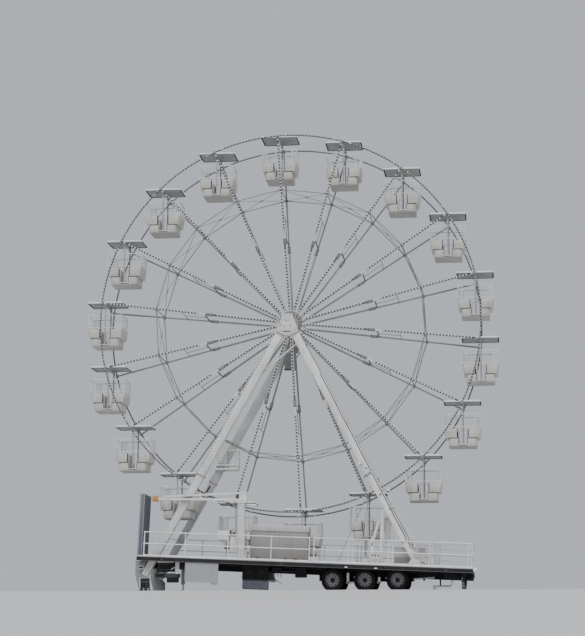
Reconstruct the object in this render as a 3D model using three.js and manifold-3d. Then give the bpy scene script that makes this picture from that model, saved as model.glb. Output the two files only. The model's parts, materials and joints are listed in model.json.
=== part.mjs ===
// Transportable ferris wheel on a three-axle trailer: two A-shaped leg frames carry a
// fixed main axle, an open wheel of eighteen spoke frames and two rims turns on it, and
// eighteen level gondolas hang on pins between the rims.
//
// Millimetres. X runs along the trailer, Y away from the front side, Z up. The origin is
// on the ground, straight under the middle of the main axle.

import * as THREE from "three";
import { mergeVertices } from "three/addons/utils/BufferGeometryUtils.js";
import Module from "manifold-3d";

const wasm = await Module();
wasm.setup();

// Driving dimensions of the wheel
const HUB_HEIGHT = 11530;
const GONDOLA_COUNT = 18;
const PITCH_ANGLE = (2 * Math.PI) / GONDOLA_COUNT;
const FIRST_ANGLE = THREE.MathUtils.degToRad(-3.54);
const PIVOT_RADIUS = 8200;
const RIM_Y = 1310;
const RIM_BAR = 70;
const RIM_SEGMENTS = 72;

// Hub and main axle
const AXLE_RADIUS = 120;
const AXLE_HALF_LENGTH = 1844;
const HUB_FLANGE_RADIUS = 470;
const HUB_FLANGE_Y = 600;
const HUB_FLANGE_WIDTH = 100;
const HUB_DRUM_RADIUS = 230;

// Spoke frames
const FRAMES_IN_GROUP = 3;
const CHORD_WIDTH = 70;
const CHORD_DEPTH = 60;
const INNER_CHORD = { width: 120, depth: 70, end: 3790 };
const RUNG_RADII = [3770, 5850];
const RUNG_BAR = 40;
const TIE_RADIUS = 5850;
const TIE_BAR = 30;

// Gondola, measured from its pivot
const PIN_RADIUS = 30;
const PIN_SIDES = 6;
const ROOF = { halfX: 805, halfY: 700, corner: 130, bottom: 111, height: 75 };
const HANGER = { y: 585, width: 84, depth: 44 };
const TUB_BOTTOM = -1778;
const FLOOR_HEIGHT = 45;
const PLINTH = { inner: 190, topX: 605, bottomX: 590, halfY: 612, top: -1420 };
const SEAT_BOX = { inner: 245, topX: 770, bottomX: 715, halfY: 640, top: -1030, wall: 40 };
const RAIL = { halfX: 764, halfY: 634, topZ: -400, bar: 28 };

// Leg frames
const LEG_Y = 1720;
const LEG_DEPTH = 240;
const LEG_TOP = { x: 330, z: HUB_HEIGHT - 670 };
const LEG_TOP_WIDTH = 340;
const LEG_WIDE_WIDTH = 425;
const LEG_WIDE_AT = 0.235;
const LEG_FOOT_WIDTH = 290;
const LEFT_FOOT = { x: -6024, z: 700 };
const RIGHT_FOOT = { x: 5310, z: 1290 };
const SHOE = { width: 560, depth: 380, height: 90 };
const STAND = { width: 760, depth: 620, plate: 40, neck: 440, slot: 40 };
const STAND_CHEEK = { x: -6410, foot: 720, top: 1295, rise: 560 };

// Trailer: its deck falls gently towards +X
const DECK_HEIGHT = 1235;
const DECK_SLOPE = THREE.MathUtils.degToRad(2.49);
const DECK = { left: -6280, right: 7705, halfY: 2300, height: 60 };
const LEG_SLOT = { left: -5870, right: -5320, inner: 1560, outer: 1880 };
const BEAM = { y: 500, width: 130, depth: 350 };
const EDGE_BEAM = { width: 60, depth: 150 };
const CROSS_BEAM = { width: 90, depth: 120 };
const CROSS_BEAM_XS = [-6230, -4700, -2600, 500, 2535, 5300, 7300, 7655];

// Running gear
const TYRE = { radius: 475, width: 385, outerY: 1255, rim: 292, hubHalf: 150, dish: 60 };
const TYRE_SHOULDER = { radial: 30, side: 60 };
const RIM_LIP = 40;
const WHEEL_XS = [1835, 3190, 4550];
const TYRE_SIDES = 20;
const WHEEL_HEIGHT = TYRE.radius * Math.cos(Math.PI / TYRE_SIDES);
const AXLE_BEAM = { radius: 65, sides: 8, inset: 40 };

// Railings
const RAILING = { y: 2265, tube: 50, top: 1010, middle: 505 };

// Clearances: between pieces that touch, around turning pins, and the depth to which
// joined bars reach into each other
const GAP = 0.3;
const PIN_PLAY = 0.5;
const OVERLAP = 20;
const STEP_BACK = 2; // sets a joined bar's face a little behind its neighbour's

// Materials
const paint = (color, roughness, metalness) =>
  new THREE.MeshStandardMaterial({ color, roughness, metalness });
const whitePaint = paint(0xd9d9d4, 0.45, 0.2);
const gondolaShell = paint(0xc9c8bf, 0.5, 0.0);
const boxPaint = paint(0x8f8a82, 0.6, 0.1);
const lidPaint = paint(0xb5b2aa, 0.55, 0.1);
const chassisPaint = paint(0x2b2e33, 0.6, 0.3);
const deckMetal = paint(0xa9abac, 0.5, 0.6);
const screenPaint = paint(0x5f656b, 0.6, 0.2);
const tyreRubber = paint(0x1c1c1d, 0.9, 0.0);
const toolboxPaint = paint(0x6b7688, 0.5, 0.4);
const steel = paint(0x9fa2a3, 0.4, 0.8);

const ferrisWheel = new THREE.Group();

// Closed meshes are turned into solids to be joined or cut, and back into a geometry.
function toSolid(geometry) {
  const plain = geometry.index ? geometry.toNonIndexed() : geometry.clone();
  plain.deleteAttribute("normal");
  plain.deleteAttribute("uv");
  const merged = mergeVertices(plain, 0.01);
  return new wasm.Manifold(
    new wasm.Mesh({
      numProp: 3,
      vertProperties: new Float32Array(merged.attributes.position.array),
      triVerts: new Uint32Array(merged.index.array),
    })
  );
}

function toGeometry(solid) {
  const mesh = solid.getMesh();
  const geometry = new THREE.BufferGeometry();
  geometry.setAttribute("position", new THREE.BufferAttribute(mesh.vertProperties, 3));
  geometry.setIndex(new THREE.BufferAttribute(mesh.triVerts, 1));
  geometry.computeVertexNormals();
  return geometry;
}

function fuse(geometries) {
  return toGeometry(geometries.map(toSolid).reduce((whole, piece) => whole.add(piece)));
}

function cut(geometry, tools) {
  return toGeometry(tools.map(toSolid).reduce((rest, tool) => rest.subtract(tool), toSolid(geometry)));
}

function addNode(parent, name, geometry, material) {
  const mesh = new THREE.Mesh(geometry, material);
  mesh.name = name;
  parent.add(mesh);
  return mesh;
}

// A box given by its lowest and highest corner.
function block(x0, x1, y0, y1, z0, z1) {
  return new THREE.BoxGeometry(x1 - x0, y1 - y0, z1 - z0).translate(
    (x0 + x1) / 2,
    (y0 + y1) / 2,
    (z0 + z1) / 2
  );
}

// An outline of [x, z] points in the upright plane, with its thickness from y0 to y1.
function slab(points, y0, y1) {
  const shape = new THREE.Shape(points.map(([x, z]) => new THREE.Vector2(x, z)));
  return new THREE.ExtrudeGeometry(shape, { depth: y1 - y0, bevelEnabled: false })
    .rotateX(Math.PI / 2)
    .translate(0, y1, 0);
}

// A straight bar of rectangular section. Its depth lies along "across", its width square to that.
function bar(from, to, width, depth, across = new THREE.Vector3(0, 1, 0)) {
  const along = to.clone().sub(from);
  const length = along.length();
  along.normalize();
  const side = new THREE.Vector3().crossVectors(across, along).normalize();
  const up = new THREE.Vector3().crossVectors(along, side);
  const middle = from.clone().add(to).multiplyScalar(0.5);
  const frame = new THREE.Matrix4().makeBasis(along, side, up).setPosition(middle);
  return new THREE.BoxGeometry(length, width, depth).applyMatrix4(frame);
}

// A round bar along Y; "turn" moves its corners round by that share of one side.
function pinAlongY(radius, y0, y1, sides, turn = 0) {
  return new THREE.CylinderGeometry(radius, radius, y1 - y0, sides)
    .rotateY((turn * 2 * Math.PI) / sides)
    .translate(0, (y0 + y1) / 2, 0);
}

function columnAlongZ(radius, z0, z1, sides, turn = 0) {
  return new THREE.CylinderGeometry(radius, radius, z1 - z0, sides)
    .rotateY((turn * 2 * Math.PI) / sides)
    .rotateX(Math.PI / 2)
    .translate(0, 0, (z0 + z1) / 2);
}

// The circle through the corners of a hole whose flats clear a round bar by "play".
function boreRadius(radius, sides, play) {
  return (radius + play) / Math.cos(Math.PI / sides);
}

const point = (x, y, z) => new THREE.Vector3(x, y, z);
const mirrored = [-1, 1];

// Wheel: everything here is measured from the middle of the hub.
const wheel = new THREE.Group();
wheel.position.z = HUB_HEIGHT;
ferrisWheel.add(wheel);

const spokeAngle = (index) => FIRST_ANGLE + index * PITCH_ANGLE;
const onWheel = (angle, radius, y) => point(radius * Math.sin(angle), y, radius * Math.cos(angle));

const HUB_SIDES = GONDOLA_COUNT;
const flangeCorner = HUB_FLANGE_RADIUS / Math.cos(Math.PI / HUB_SIDES);
const hubBore = boreRadius(AXLE_RADIUS, HUB_SIDES, PIN_PLAY);
const flangeInner = HUB_FLANGE_Y - HUB_FLANGE_WIDTH / 2;
const flangeOuter = HUB_FLANGE_Y + HUB_FLANGE_WIDTH / 2;
const drumProfile = [
  [hubBore, -flangeOuter],
  [flangeCorner, -flangeOuter],
  [flangeCorner, -flangeInner],
  [HUB_DRUM_RADIUS, -flangeInner],
  [HUB_DRUM_RADIUS, flangeInner],
  [flangeCorner, flangeInner],
  [flangeCorner, flangeOuter],
  [hubBore, flangeOuter],
  [hubBore, -flangeOuter],
].map(([radius, y]) => new THREE.Vector2(radius, y));
addNode(
  wheel,
  "hub_drum",
  new THREE.LatheGeometry(drumProfile, HUB_SIDES, FIRST_ANGLE + PITCH_ANGLE / 2),
  whitePaint
);

function rimGeometry(y) {
  const half = RIM_BAR / 2;
  const profile = [
    [PIVOT_RADIUS - half, y - half],
    [PIVOT_RADIUS + half, y - half],
    [PIVOT_RADIUS + half, y + half],
    [PIVOT_RADIUS - half, y + half],
    [PIVOT_RADIUS - half, y - half],
  ].map(([radius, height]) => new THREE.Vector2(radius, height));
  return new THREE.LatheGeometry(profile, RIM_SEGMENTS);
}
addNode(wheel, "rim_front", rimGeometry(-RIM_Y), whitePaint);
addNode(wheel, "rim_back", rimGeometry(RIM_Y), whitePaint);

// Chords run from the edge of the hub flange to the gondola pin, spreading on the way.
const pinEnd = RIM_Y - RIM_BAR / 2 - GAP;
const chordOuterY = pinEnd - CHORD_DEPTH / 2 - STEP_BACK;
const chordSpread = Math.atan2(chordOuterY - HUB_FLANGE_Y, PIVOT_RADIUS - HUB_FLANGE_RADIUS);
const chordStart = HUB_FLANGE_RADIUS + GAP + (INNER_CHORD.depth / 2) * Math.sin(chordSpread);
const chordY = (radius) => HUB_FLANGE_Y + (radius - HUB_FLANGE_RADIUS) * Math.tan(chordSpread);

// A chord is a wide bar up to the first rung and a slimmer one from there to the rim.
function chordPieces(angle, side) {
  const { width, depth, end } = INNER_CHORD;
  const at = (radius) => onWheel(angle, radius, side * chordY(radius));
  return [
    bar(at(chordStart), at(end), width, depth),
    bar(at(end - 2 * OVERLAP), at(PIVOT_RADIUS), CHORD_WIDTH, CHORD_DEPTH),
  ];
}

function rung(angle, radius) {
  const from = onWheel(angle, radius, -chordY(radius));
  const to = onWheel(angle, radius, chordY(radius));
  return bar(from, to, RUNG_BAR, RUNG_BAR, onWheel(angle, 1, 0));
}

function gondolaPin(angle) {
  const pivot = onWheel(angle, PIVOT_RADIUS, 0);
  return pinAlongY(PIN_RADIUS, -pinEnd, pinEnd, PIN_SIDES, 0.5).translate(pivot.x, 0, pivot.z);
}

// A tie joins the chords of neighbouring frames. The last one of a group stops at the
// side of the next group's chord.
const tieStop =
  (CHORD_WIDTH / 2 + GAP) / Math.cos(PITCH_ANGLE / 2) + (TIE_BAR / 2) * Math.tan(PITCH_ANGLE / 2);

function tie(angle, side, isLast) {
  const y = side * chordY(TIE_RADIUS);
  const from = onWheel(angle, TIE_RADIUS, y);
  const to = onWheel(angle + PITCH_ANGLE, TIE_RADIUS, y);
  if (isLast) {
    to.sub(to.clone().sub(from).setLength(tieStop));
  }
  return bar(from, to, TIE_BAR, TIE_BAR);
}

for (let first = 0; first < GONDOLA_COUNT; first += FRAMES_IN_GROUP) {
  const pieces = [];
  for (let index = first; index < first + FRAMES_IN_GROUP; index += 1) {
    const angle = spokeAngle(index);
    const isLast = index === first + FRAMES_IN_GROUP - 1;
    for (const side of mirrored) {
      pieces.push(...chordPieces(angle, side), tie(angle, side, isLast));
    }
    for (const radius of RUNG_RADII) {
      pieces.push(rung(angle, radius));
    }
    pieces.push(gondolaPin(angle));
  }
  addNode(wheel, `spoke_group_${first / FRAMES_IN_GROUP + 1}`, fuse(pieces), whitePaint);
}

// Gondola: a flat roof, two hangers with a bearing eye each, a floor, two seats that face
// each other across the doorway, and a railing. Measured from the pivot.
function roofGeometry() {
  const { halfX, halfY, corner, bottom, height } = ROOF;
  const outline = new THREE.Shape();
  outline.moveTo(halfX - corner, -halfY);
  outline.absarc(halfX - corner, -halfY + corner, corner, -Math.PI / 2, 0);
  outline.absarc(halfX - corner, halfY - corner, corner, 0, Math.PI / 2);
  outline.absarc(-halfX + corner, halfY - corner, corner, Math.PI / 2, Math.PI);
  outline.absarc(-halfX + corner, -halfY + corner, corner, Math.PI, 1.5 * Math.PI);
  return new THREE.ExtrudeGeometry(outline, {
    depth: height,
    bevelEnabled: false,
    curveSegments: 2,
  }).translate(0, 0, bottom);
}

// A hanger reaches from the floor to the roof, with the eye for the pin near its top.
function hangerGeometry(side) {
  const { y, width, depth } = HANGER;
  const plate = block(
    -width / 2,
    width / 2,
    side * y - depth / 2,
    side * y + depth / 2,
    TUB_BOTTOM + FLOOR_HEIGHT - OVERLAP / 2,
    ROOF.bottom + OVERLAP / 2
  );
  const eye = pinAlongY(boreRadius(PIN_RADIUS, PIN_SIDES, PIN_PLAY), -ROOF.halfY, ROOF.halfY, PIN_SIDES);
  return cut(plate, [eye]);
}

// Two seats face each other: each is an open box that leans outwards, on a narrower plinth.
function seatPieces(side) {
  const { inner, topX, bottomX, halfY, top, wall } = SEAT_BOX;
  const bench = PLINTH.top;
  const ordered = (points) => (side > 0 ? points : points.slice().reverse());
  const plinth = [
    [side * PLINTH.inner, TUB_BOTTOM],
    [side * PLINTH.bottomX, TUB_BOTTOM],
    [side * PLINTH.topX, bench + wall / 2],
    [side * PLINTH.inner, bench + wall / 2],
  ];
  const box = [
    [side * inner, bench],
    [side * bottomX, bench],
    [side * topX, top],
    [side * inner, top],
  ];
  const hollow = [
    [side * (inner - wall), bench + wall],
    [side * (bottomX - wall), bench + wall],
    [side * (topX - wall), top + wall],
    [side * (inner - wall), top + wall],
  ];
  const shell = cut(slab(ordered(box), -halfY, halfY), [
    slab(ordered(hollow), -halfY + wall, halfY - wall),
  ]);
  return [slab(ordered(plinth), -PLINTH.halfY, PLINTH.halfY), shell];
}

function railingPieces() {
  const { halfX, halfY, topZ, bar: size } = RAIL;
  const loop = new THREE.Shape();
  const corners = (x, y) => [
    new THREE.Vector2(-x, -y),
    new THREE.Vector2(x, -y),
    new THREE.Vector2(x, y),
    new THREE.Vector2(-x, y),
  ];
  loop.setFromPoints(corners(halfX, halfY));
  loop.holes.push(new THREE.Path().setFromPoints(corners(halfX - size, halfY - size).reverse()));
  const rail = new THREE.ExtrudeGeometry(loop, { depth: size, bevelEnabled: false }).translate(
    0,
    0,
    topZ - size
  );
  const posts = mirrored.flatMap((side) =>
    mirrored.map((end) =>
      block(
        side * (halfX - size / 2) - size / 2 + STEP_BACK,
        side * (halfX - size / 2) + size / 2 - STEP_BACK,
        end * (halfY - size / 2) - size / 2 + STEP_BACK,
        end * (halfY - size / 2) + size / 2 - STEP_BACK,
        SEAT_BOX.top - size,
        topZ - size / 2
      )
    )
  );
  return [rail, ...posts];
}

function gondolaGeometry() {
  const floor = block(
    -PLINTH.inner - OVERLAP / 2,
    PLINTH.inner + OVERLAP / 2,
    -PLINTH.halfY,
    PLINTH.halfY,
    TUB_BOTTOM,
    TUB_BOTTOM + FLOOR_HEIGHT
  );
  return fuse([
    roofGeometry(),
    floor,
    ...mirrored.map(hangerGeometry),
    ...mirrored.flatMap(seatPieces),
    ...railingPieces(),
  ]);
}

const gondolaShape = gondolaGeometry();
for (let index = 0; index < GONDOLA_COUNT; index += 1) {
  const name = `gondola_${String(index + 1).padStart(2, "0")}`;
  addNode(wheel, name, gondolaShape, gondolaShell).position.copy(
    onWheel(spokeAngle(index), PIVOT_RADIUS, 0)
  );
}

// Fixed main axle
addNode(
  ferrisWheel,
  "main_axle",
  pinAlongY(AXLE_RADIUS, -AXLE_HALF_LENGTH, AXLE_HALF_LENGTH, HUB_SIDES)
    .rotateY(FIRST_ANGLE)
    .translate(0, 0, HUB_HEIGHT),
  steel
);

// Leg frames. A leg is a tapered box beam, widest near its top.
const deckTop = (x) => DECK_HEIGHT - Math.tan(DECK_SLOPE) * x;

function legAxis(side, foot) {
  const top = new THREE.Vector2(side * LEG_TOP.x, LEG_TOP.z);
  const bottom = new THREE.Vector2(foot.x, foot.z);
  const along = bottom.clone().sub(top);
  const length = along.length();
  along.normalize();
  const outward = new THREE.Vector2(-along.y * side, along.x * side);
  const edge = (distance, width) =>
    top.clone().addScaledVector(along, distance).addScaledVector(outward, width / 2).toArray();
  return { length, edge };
}

function legOutline(side, foot) {
  const { length, edge } = legAxis(side, foot);
  const wideAt = LEG_WIDE_AT * length;
  const points = [
    edge(GAP, LEG_TOP_WIDTH),
    edge(wideAt, LEG_WIDE_WIDTH),
    edge(length, LEG_FOOT_WIDTH),
    edge(length, -LEG_FOOT_WIDTH),
    edge(wideAt, -LEG_WIDE_WIDTH),
    edge(GAP, -LEG_TOP_WIDTH),
  ];
  return side > 0 ? points.reverse() : points;
}

// The right legs end in a shoe that lies flat on the sloping deck.
function shoeOutline() {
  const left = RIGHT_FOOT.x - SHOE.width / 2;
  const right = RIGHT_FOOT.x + SHOE.width / 2;
  return [
    [left, deckTop(left) + GAP],
    [right, deckTop(right) + GAP],
    [right, deckTop(right) + SHOE.height],
    [RIGHT_FOOT.x + LEG_FOOT_WIDTH / 2, RIGHT_FOOT.z],
    [RIGHT_FOOT.x - LEG_FOOT_WIDTH / 2, RIGHT_FOOT.z],
    [left, deckTop(left) + SHOE.height],
  ];
}

// The left legs stand on the ground, each on a stand cut square to the leg, with a cheek
// that rises beside the leg's outer edge and leaves a slot to it.
function standGeometry(y) {
  const { length, edge } = legAxis(-1, LEFT_FOOT);
  const halfNeck = STAND.neck / 2;
  const slotEdge = LEG_FOOT_WIDTH + 2 * STAND.slot;
  const neck = [
    [LEFT_FOOT.x - halfNeck, STAND.plate / 2],
    [LEFT_FOOT.x + halfNeck, STAND.plate / 2],
    edge(length + GAP, -STAND.neck),
    edge(length + GAP, slotEdge),
    edge(length - STAND_CHEEK.rise, slotEdge),
    [STAND_CHEEK.x, STAND_CHEEK.top],
    [STAND_CHEEK.x, STAND_CHEEK.foot],
  ];
  const plate = block(
    LEFT_FOOT.x - STAND.width / 2,
    LEFT_FOOT.x + STAND.width / 2,
    y - STAND.depth / 2,
    y + STAND.depth / 2,
    0,
    STAND.plate
  );
  return fuse([plate, slab(neck, y - LEG_DEPTH / 2, y + LEG_DEPTH / 2)]);
}

const HEAD_OUTLINE_TOP = [
  [-390, -300],
  [-190, 190],
  [190, 190],
  [390, -300],
];

function headGeometry(y) {
  const left = legAxis(-1, LEFT_FOOT);
  const right = legAxis(1, RIGHT_FOOT);
  const upper = HEAD_OUTLINE_TOP.map(([x, z]) => [x, z + HUB_HEIGHT]);
  const lower = [
    right.edge(0, LEG_TOP_WIDTH),
    right.edge(0, -LEG_TOP_WIDTH),
    left.edge(0, -LEG_TOP_WIDTH),
    left.edge(0, LEG_TOP_WIDTH),
  ];
  const outline = [...upper, ...lower].reverse();
  const socket = pinAlongY(AXLE_RADIUS + GAP, y - LEG_DEPTH, y + LEG_DEPTH, HUB_SIDES)
    .rotateY(FIRST_ANGLE)
    .translate(0, 0, HUB_HEIGHT);
  return cut(slab(outline, y - LEG_DEPTH / 2, y + LEG_DEPTH / 2), [socket]);
}

for (const side of mirrored) {
  const face = side < 0 ? "front" : "back";
  const y = side * LEG_Y;
  const y0 = y - LEG_DEPTH / 2;
  const y1 = y + LEG_DEPTH / 2;
  addNode(ferrisWheel, `leg_left_${face}`, slab(legOutline(-1, LEFT_FOOT), y0, y1), whitePaint);
  addNode(
    ferrisWheel,
    `leg_right_${face}`,
    fuse([
      slab(legOutline(1, RIGHT_FOOT), y0, y1),
      slab(shoeOutline(), y - SHOE.depth / 2, y + SHOE.depth / 2),
    ]),
    whitePaint
  );
  addNode(ferrisWheel, `leg_stand_${face}`, standGeometry(y), whitePaint);
  addNode(ferrisWheel, `leg_head_${face}`, headGeometry(y), whitePaint);
}

// Trailer: measured from the top of the deck, straight under the hub, and turned with it.
const trailer = new THREE.Group();
trailer.position.z = DECK_HEIGHT;
trailer.rotation.y = DECK_SLOPE;
ferrisWheel.add(trailer);

function deckGeometry() {
  const plate = block(DECK.left, DECK.right, -DECK.halfY, DECK.halfY, -DECK.height, 0);
  const slots = mirrored.map((side) =>
    block(
      LEG_SLOT.left,
      LEG_SLOT.right,
      Math.min(side * LEG_SLOT.inner, side * LEG_SLOT.outer),
      Math.max(side * LEG_SLOT.inner, side * LEG_SLOT.outer),
      -DECK.height - OVERLAP,
      OVERLAP
    )
  );
  return cut(plate, slots);
}
addNode(trailer, "deck_plate", deckGeometry(), deckMetal);

const frameTop = -DECK.height - GAP;
const CHASSIS_BOX = { left: -1950, right: -850, halfY: 1200, depth: 700 };

// The cross beams end inside the edge beams and lie a little lower than their tops.
const CROSS_BEAM_DROP = 4;
const CHASSIS_BOX_DROP = 10;

function chassisGeometry() {
  const pieces = [];
  const edgeY = DECK.halfY - EDGE_BEAM.width;
  for (const side of mirrored) {
    const beamY = side * BEAM.y;
    pieces.push(
      block(
        DECK.left,
        DECK.right,
        beamY - BEAM.width / 2,
        beamY + BEAM.width / 2,
        frameTop - BEAM.depth,
        frameTop
      ),
      block(
        DECK.left,
        DECK.right,
        side < 0 ? -DECK.halfY : edgeY,
        side < 0 ? -edgeY : DECK.halfY,
        frameTop - EDGE_BEAM.depth,
        frameTop
      )
    );
  }
  for (const x of CROSS_BEAM_XS) {
    pieces.push(
      block(
        x - CROSS_BEAM.width / 2,
        x + CROSS_BEAM.width / 2,
        -DECK.halfY + OVERLAP,
        DECK.halfY - OVERLAP,
        frameTop - CROSS_BEAM.depth,
        frameTop - CROSS_BEAM_DROP
      )
    );
  }
  const { left, right, halfY, depth } = CHASSIS_BOX;
  pieces.push(block(left, right, -halfY, halfY, frameTop - depth, frameTop - CHASSIS_BOX_DROP));
  return fuse(pieces);
}
addNode(trailer, "chassis_frame", chassisGeometry(), chassisPaint);

// Running gear: fixed axle beams joined by the spring packs, level with the ground.
const SPRING = { y: 500, width: 90, bottom: 480, top: 570, ends: 620 };
const HANGER_BLOCK = { width: 160, inset: 80 };

function suspensionGeometry() {
  const pieces = [];
  const first = WHEEL_XS[0] - SPRING.ends;
  const last = WHEEL_XS[WHEEL_XS.length - 1] + SPRING.ends;
  const between = WHEEL_XS.slice(1).map((x, index) => (x + WHEEL_XS[index]) / 2);
  const hangerXs = [first + HANGER_BLOCK.inset, ...between, last - HANGER_BLOCK.inset];
  const underBeam = (frameTop - BEAM.depth) / Math.cos(DECK_SLOPE) - GAP;
  for (const side of mirrored) {
    const y = side * SPRING.y;
    pieces.push(
      block(first, last, y - SPRING.width / 2, y + SPRING.width / 2, SPRING.bottom, SPRING.top)
    );
    for (const x of hangerXs) {
      const x0 = x - HANGER_BLOCK.width / 2;
      const x1 = x + HANGER_BLOCK.width / 2;
      pieces.push(
        slab(
          [
            [x0, SPRING.top - OVERLAP],
            [x1, SPRING.top - OVERLAP],
            [x1, deckTop(x1) + underBeam],
            [x0, deckTop(x0) + underBeam],
          ],
          y - SPRING.width / 2,
          y + SPRING.width / 2
        )
      );
    }
  }
  for (const x of WHEEL_XS) {
    const stub = TYRE.outerY - AXLE_BEAM.inset;
    pieces.push(
      pinAlongY(AXLE_BEAM.radius, -stub, stub, AXLE_BEAM.sides).translate(x, 0, WHEEL_HEIGHT)
    );
  }
  return fuse(pieces);
}
addNode(ferrisWheel, "suspension", suspensionGeometry(), chassisPaint);

function wheelGeometry() {
  const half = TYRE.width / 2;
  const bore = boreRadius(AXLE_BEAM.radius, TYRE_SIDES, PIN_PLAY);
  const profile = [
    [bore, -TYRE.hubHalf],
    [TYRE.rim - RIM_LIP, -TYRE.dish],
    [TYRE.rim, -half],
    [TYRE.radius - TYRE_SHOULDER.radial, -half],
    [TYRE.radius, -half + TYRE_SHOULDER.side],
    [TYRE.radius, half - TYRE_SHOULDER.side],
    [TYRE.radius - TYRE_SHOULDER.radial, half],
    [TYRE.rim, half],
    [TYRE.rim - RIM_LIP, TYRE.dish],
    [bore, TYRE.hubHalf],
    [bore, -TYRE.hubHalf],
  ].map(([radius, y]) => new THREE.Vector2(radius, y));
  return new THREE.LatheGeometry(profile, TYRE_SIDES, Math.PI / TYRE_SIDES);
}

const roadWheel = wheelGeometry();
const wheelMiddleY = TYRE.outerY - TYRE.width / 2;
WHEEL_XS.forEach((x, index) => {
  for (const side of mirrored) {
    const name = `road_wheel_${side < 0 ? "front" : "back"}_${index + 1}`;
    addNode(ferrisWheel, name, roadWheel, tyreRubber).position.set(x, side * wheelMiddleY, WHEEL_HEIGHT);
  }
});

// Railings of round-cornered tube, drawn as square bars
function railing(postXs, y) {
  const { tube, top, middle } = RAILING;
  const half = tube / 2;
  const first = postXs[0];
  const last = postXs[postXs.length - 1];
  const pieces = postXs.map((x) => block(x - half, x + half, y - half, y + half, GAP, top));
  for (const z of [top - half, middle, half + GAP]) {
    pieces.push(block(first, last, y - half, y + half, z - half, z + half));
  }
  return pieces;
}

const FRONT_LEFT_POSTS = [-5990, -4255, -2460, -640, 950];
const FRONT_RIGHT_POSTS = [1145, 2580, 2750, 4235, 4400, 5910, 6030, 7515, 7650];
const END_POST_Y = 750;
addNode(
  trailer,
  "railing_front_left",
  fuse(railing(FRONT_LEFT_POSTS, -RAILING.y)),
  whitePaint
);

function rightEndRail() {
  const { y, tube, top, middle } = RAILING;
  const half = tube / 2;
  const x = FRONT_RIGHT_POSTS[FRONT_RIGHT_POSTS.length - 1];
  const pieces = [top - half, middle, half + GAP].map((z) =>
    block(x - half, x + half, -y, y, z - half, z + half)
  );
  for (const side of mirrored) {
    const postY = side * END_POST_Y;
    pieces.push(block(x - half, x + half, postY - half, postY + half, GAP, top));
  }
  return pieces;
}
addNode(
  trailer,
  "railing_front_right",
  fuse([...railing(FRONT_RIGHT_POSTS, -RAILING.y), ...rightEndRail()]),
  whitePaint
);
// The back railing stops short of the end rail.
const lastBackPost = FRONT_RIGHT_POSTS[FRONT_RIGHT_POSTS.length - 1] - 2 * RAILING.tube;
const backPosts = [...FRONT_LEFT_POSTS, ...FRONT_RIGHT_POSTS.slice(0, -2), lastBackPost];
addNode(trailer, "railing_back", fuse(railing(backPosts, RAILING.y)), whitePaint);

// Grey upright screen at the left end of the front walkway
const SCREEN = { left: -6275, right: -6085, front: -2240, back: -760, top: 2570 };
addNode(
  trailer,
  "end_screen",
  block(SCREEN.left, SCREEN.right, SCREEN.front, SCREEN.back, GAP, SCREEN.top),
  screenPaint
);

// Storage box on the front walkway, with its overlapping lid
const STORE = { left: -1610, right: 815, front: -1600, back: -800, bodyTop: 1250, top: 1495, lip: 20 };
addNode(
  trailer,
  "storage_box",
  block(STORE.left, STORE.right, STORE.front, STORE.back, GAP, STORE.bodyTop),
  boxPaint
);
addNode(
  trailer,
  "storage_box_lid",
  block(
    STORE.left - STORE.lip,
    STORE.right + STORE.lip,
    STORE.front - STORE.lip,
    STORE.back + STORE.lip,
    STORE.bodyTop + GAP,
    STORE.top
  ),
  lidPaint
);

// Crane for setting up: a post on the front walkway and a braced jib that slews on it.
// Heights are from the ground, and the jib's lengths are from the middle of the post.
const CRANE = { x: -1900, y: -1950, width: 275, top: 3655, flange: 80, flangeHeight: 140 };
const CRANE_PIN = { radius: 45, top: 4000, sides: 12 };
const JIB = { left: -95, right: 242, halfY: 140, bottom: 3660, top: 4130, boreTop: 4010 };
const JIB_TIP = { left: -3770, right: -3560, bottom: 3780, top: 4000 };
const JIB_BARS = {
  upper: { from: 4085, to: 3965, end: -3300, height: 80 },
  middle: { from: 3800, to: 3880, end: -3600, height: 90 },
};
const JIB_DEPTH = 150;
const JIB_STRUT = { half: 30, braces: [-1710, -300, -3270] };

function cranePostGeometry() {
  const half = CRANE.width / 2;
  const halfFlange = half + CRANE.flange;
  const deckAt = (x) => deckTop(CRANE.x + x) + GAP;
  const post = slab(
    [
      [-half, deckAt(-half)],
      [half, deckAt(half)],
      [half, CRANE.top],
      [-half, CRANE.top],
    ],
    -half,
    half
  );
  const flange = slab(
    [
      [-halfFlange, deckAt(-halfFlange)],
      [halfFlange, deckAt(halfFlange)],
      [halfFlange, deckAt(0) + CRANE.flangeHeight],
      [-halfFlange, deckAt(0) + CRANE.flangeHeight],
    ],
    -halfFlange,
    halfFlange
  );
  const pin = columnAlongZ(CRANE_PIN.radius, CRANE.top - OVERLAP, CRANE_PIN.top, CRANE_PIN.sides, 0.5);
  return fuse([post, flange, pin]).translate(CRANE.x, CRANE.y, 0);
}
addNode(ferrisWheel, "crane_post", cranePostGeometry(), whitePaint);

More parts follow.
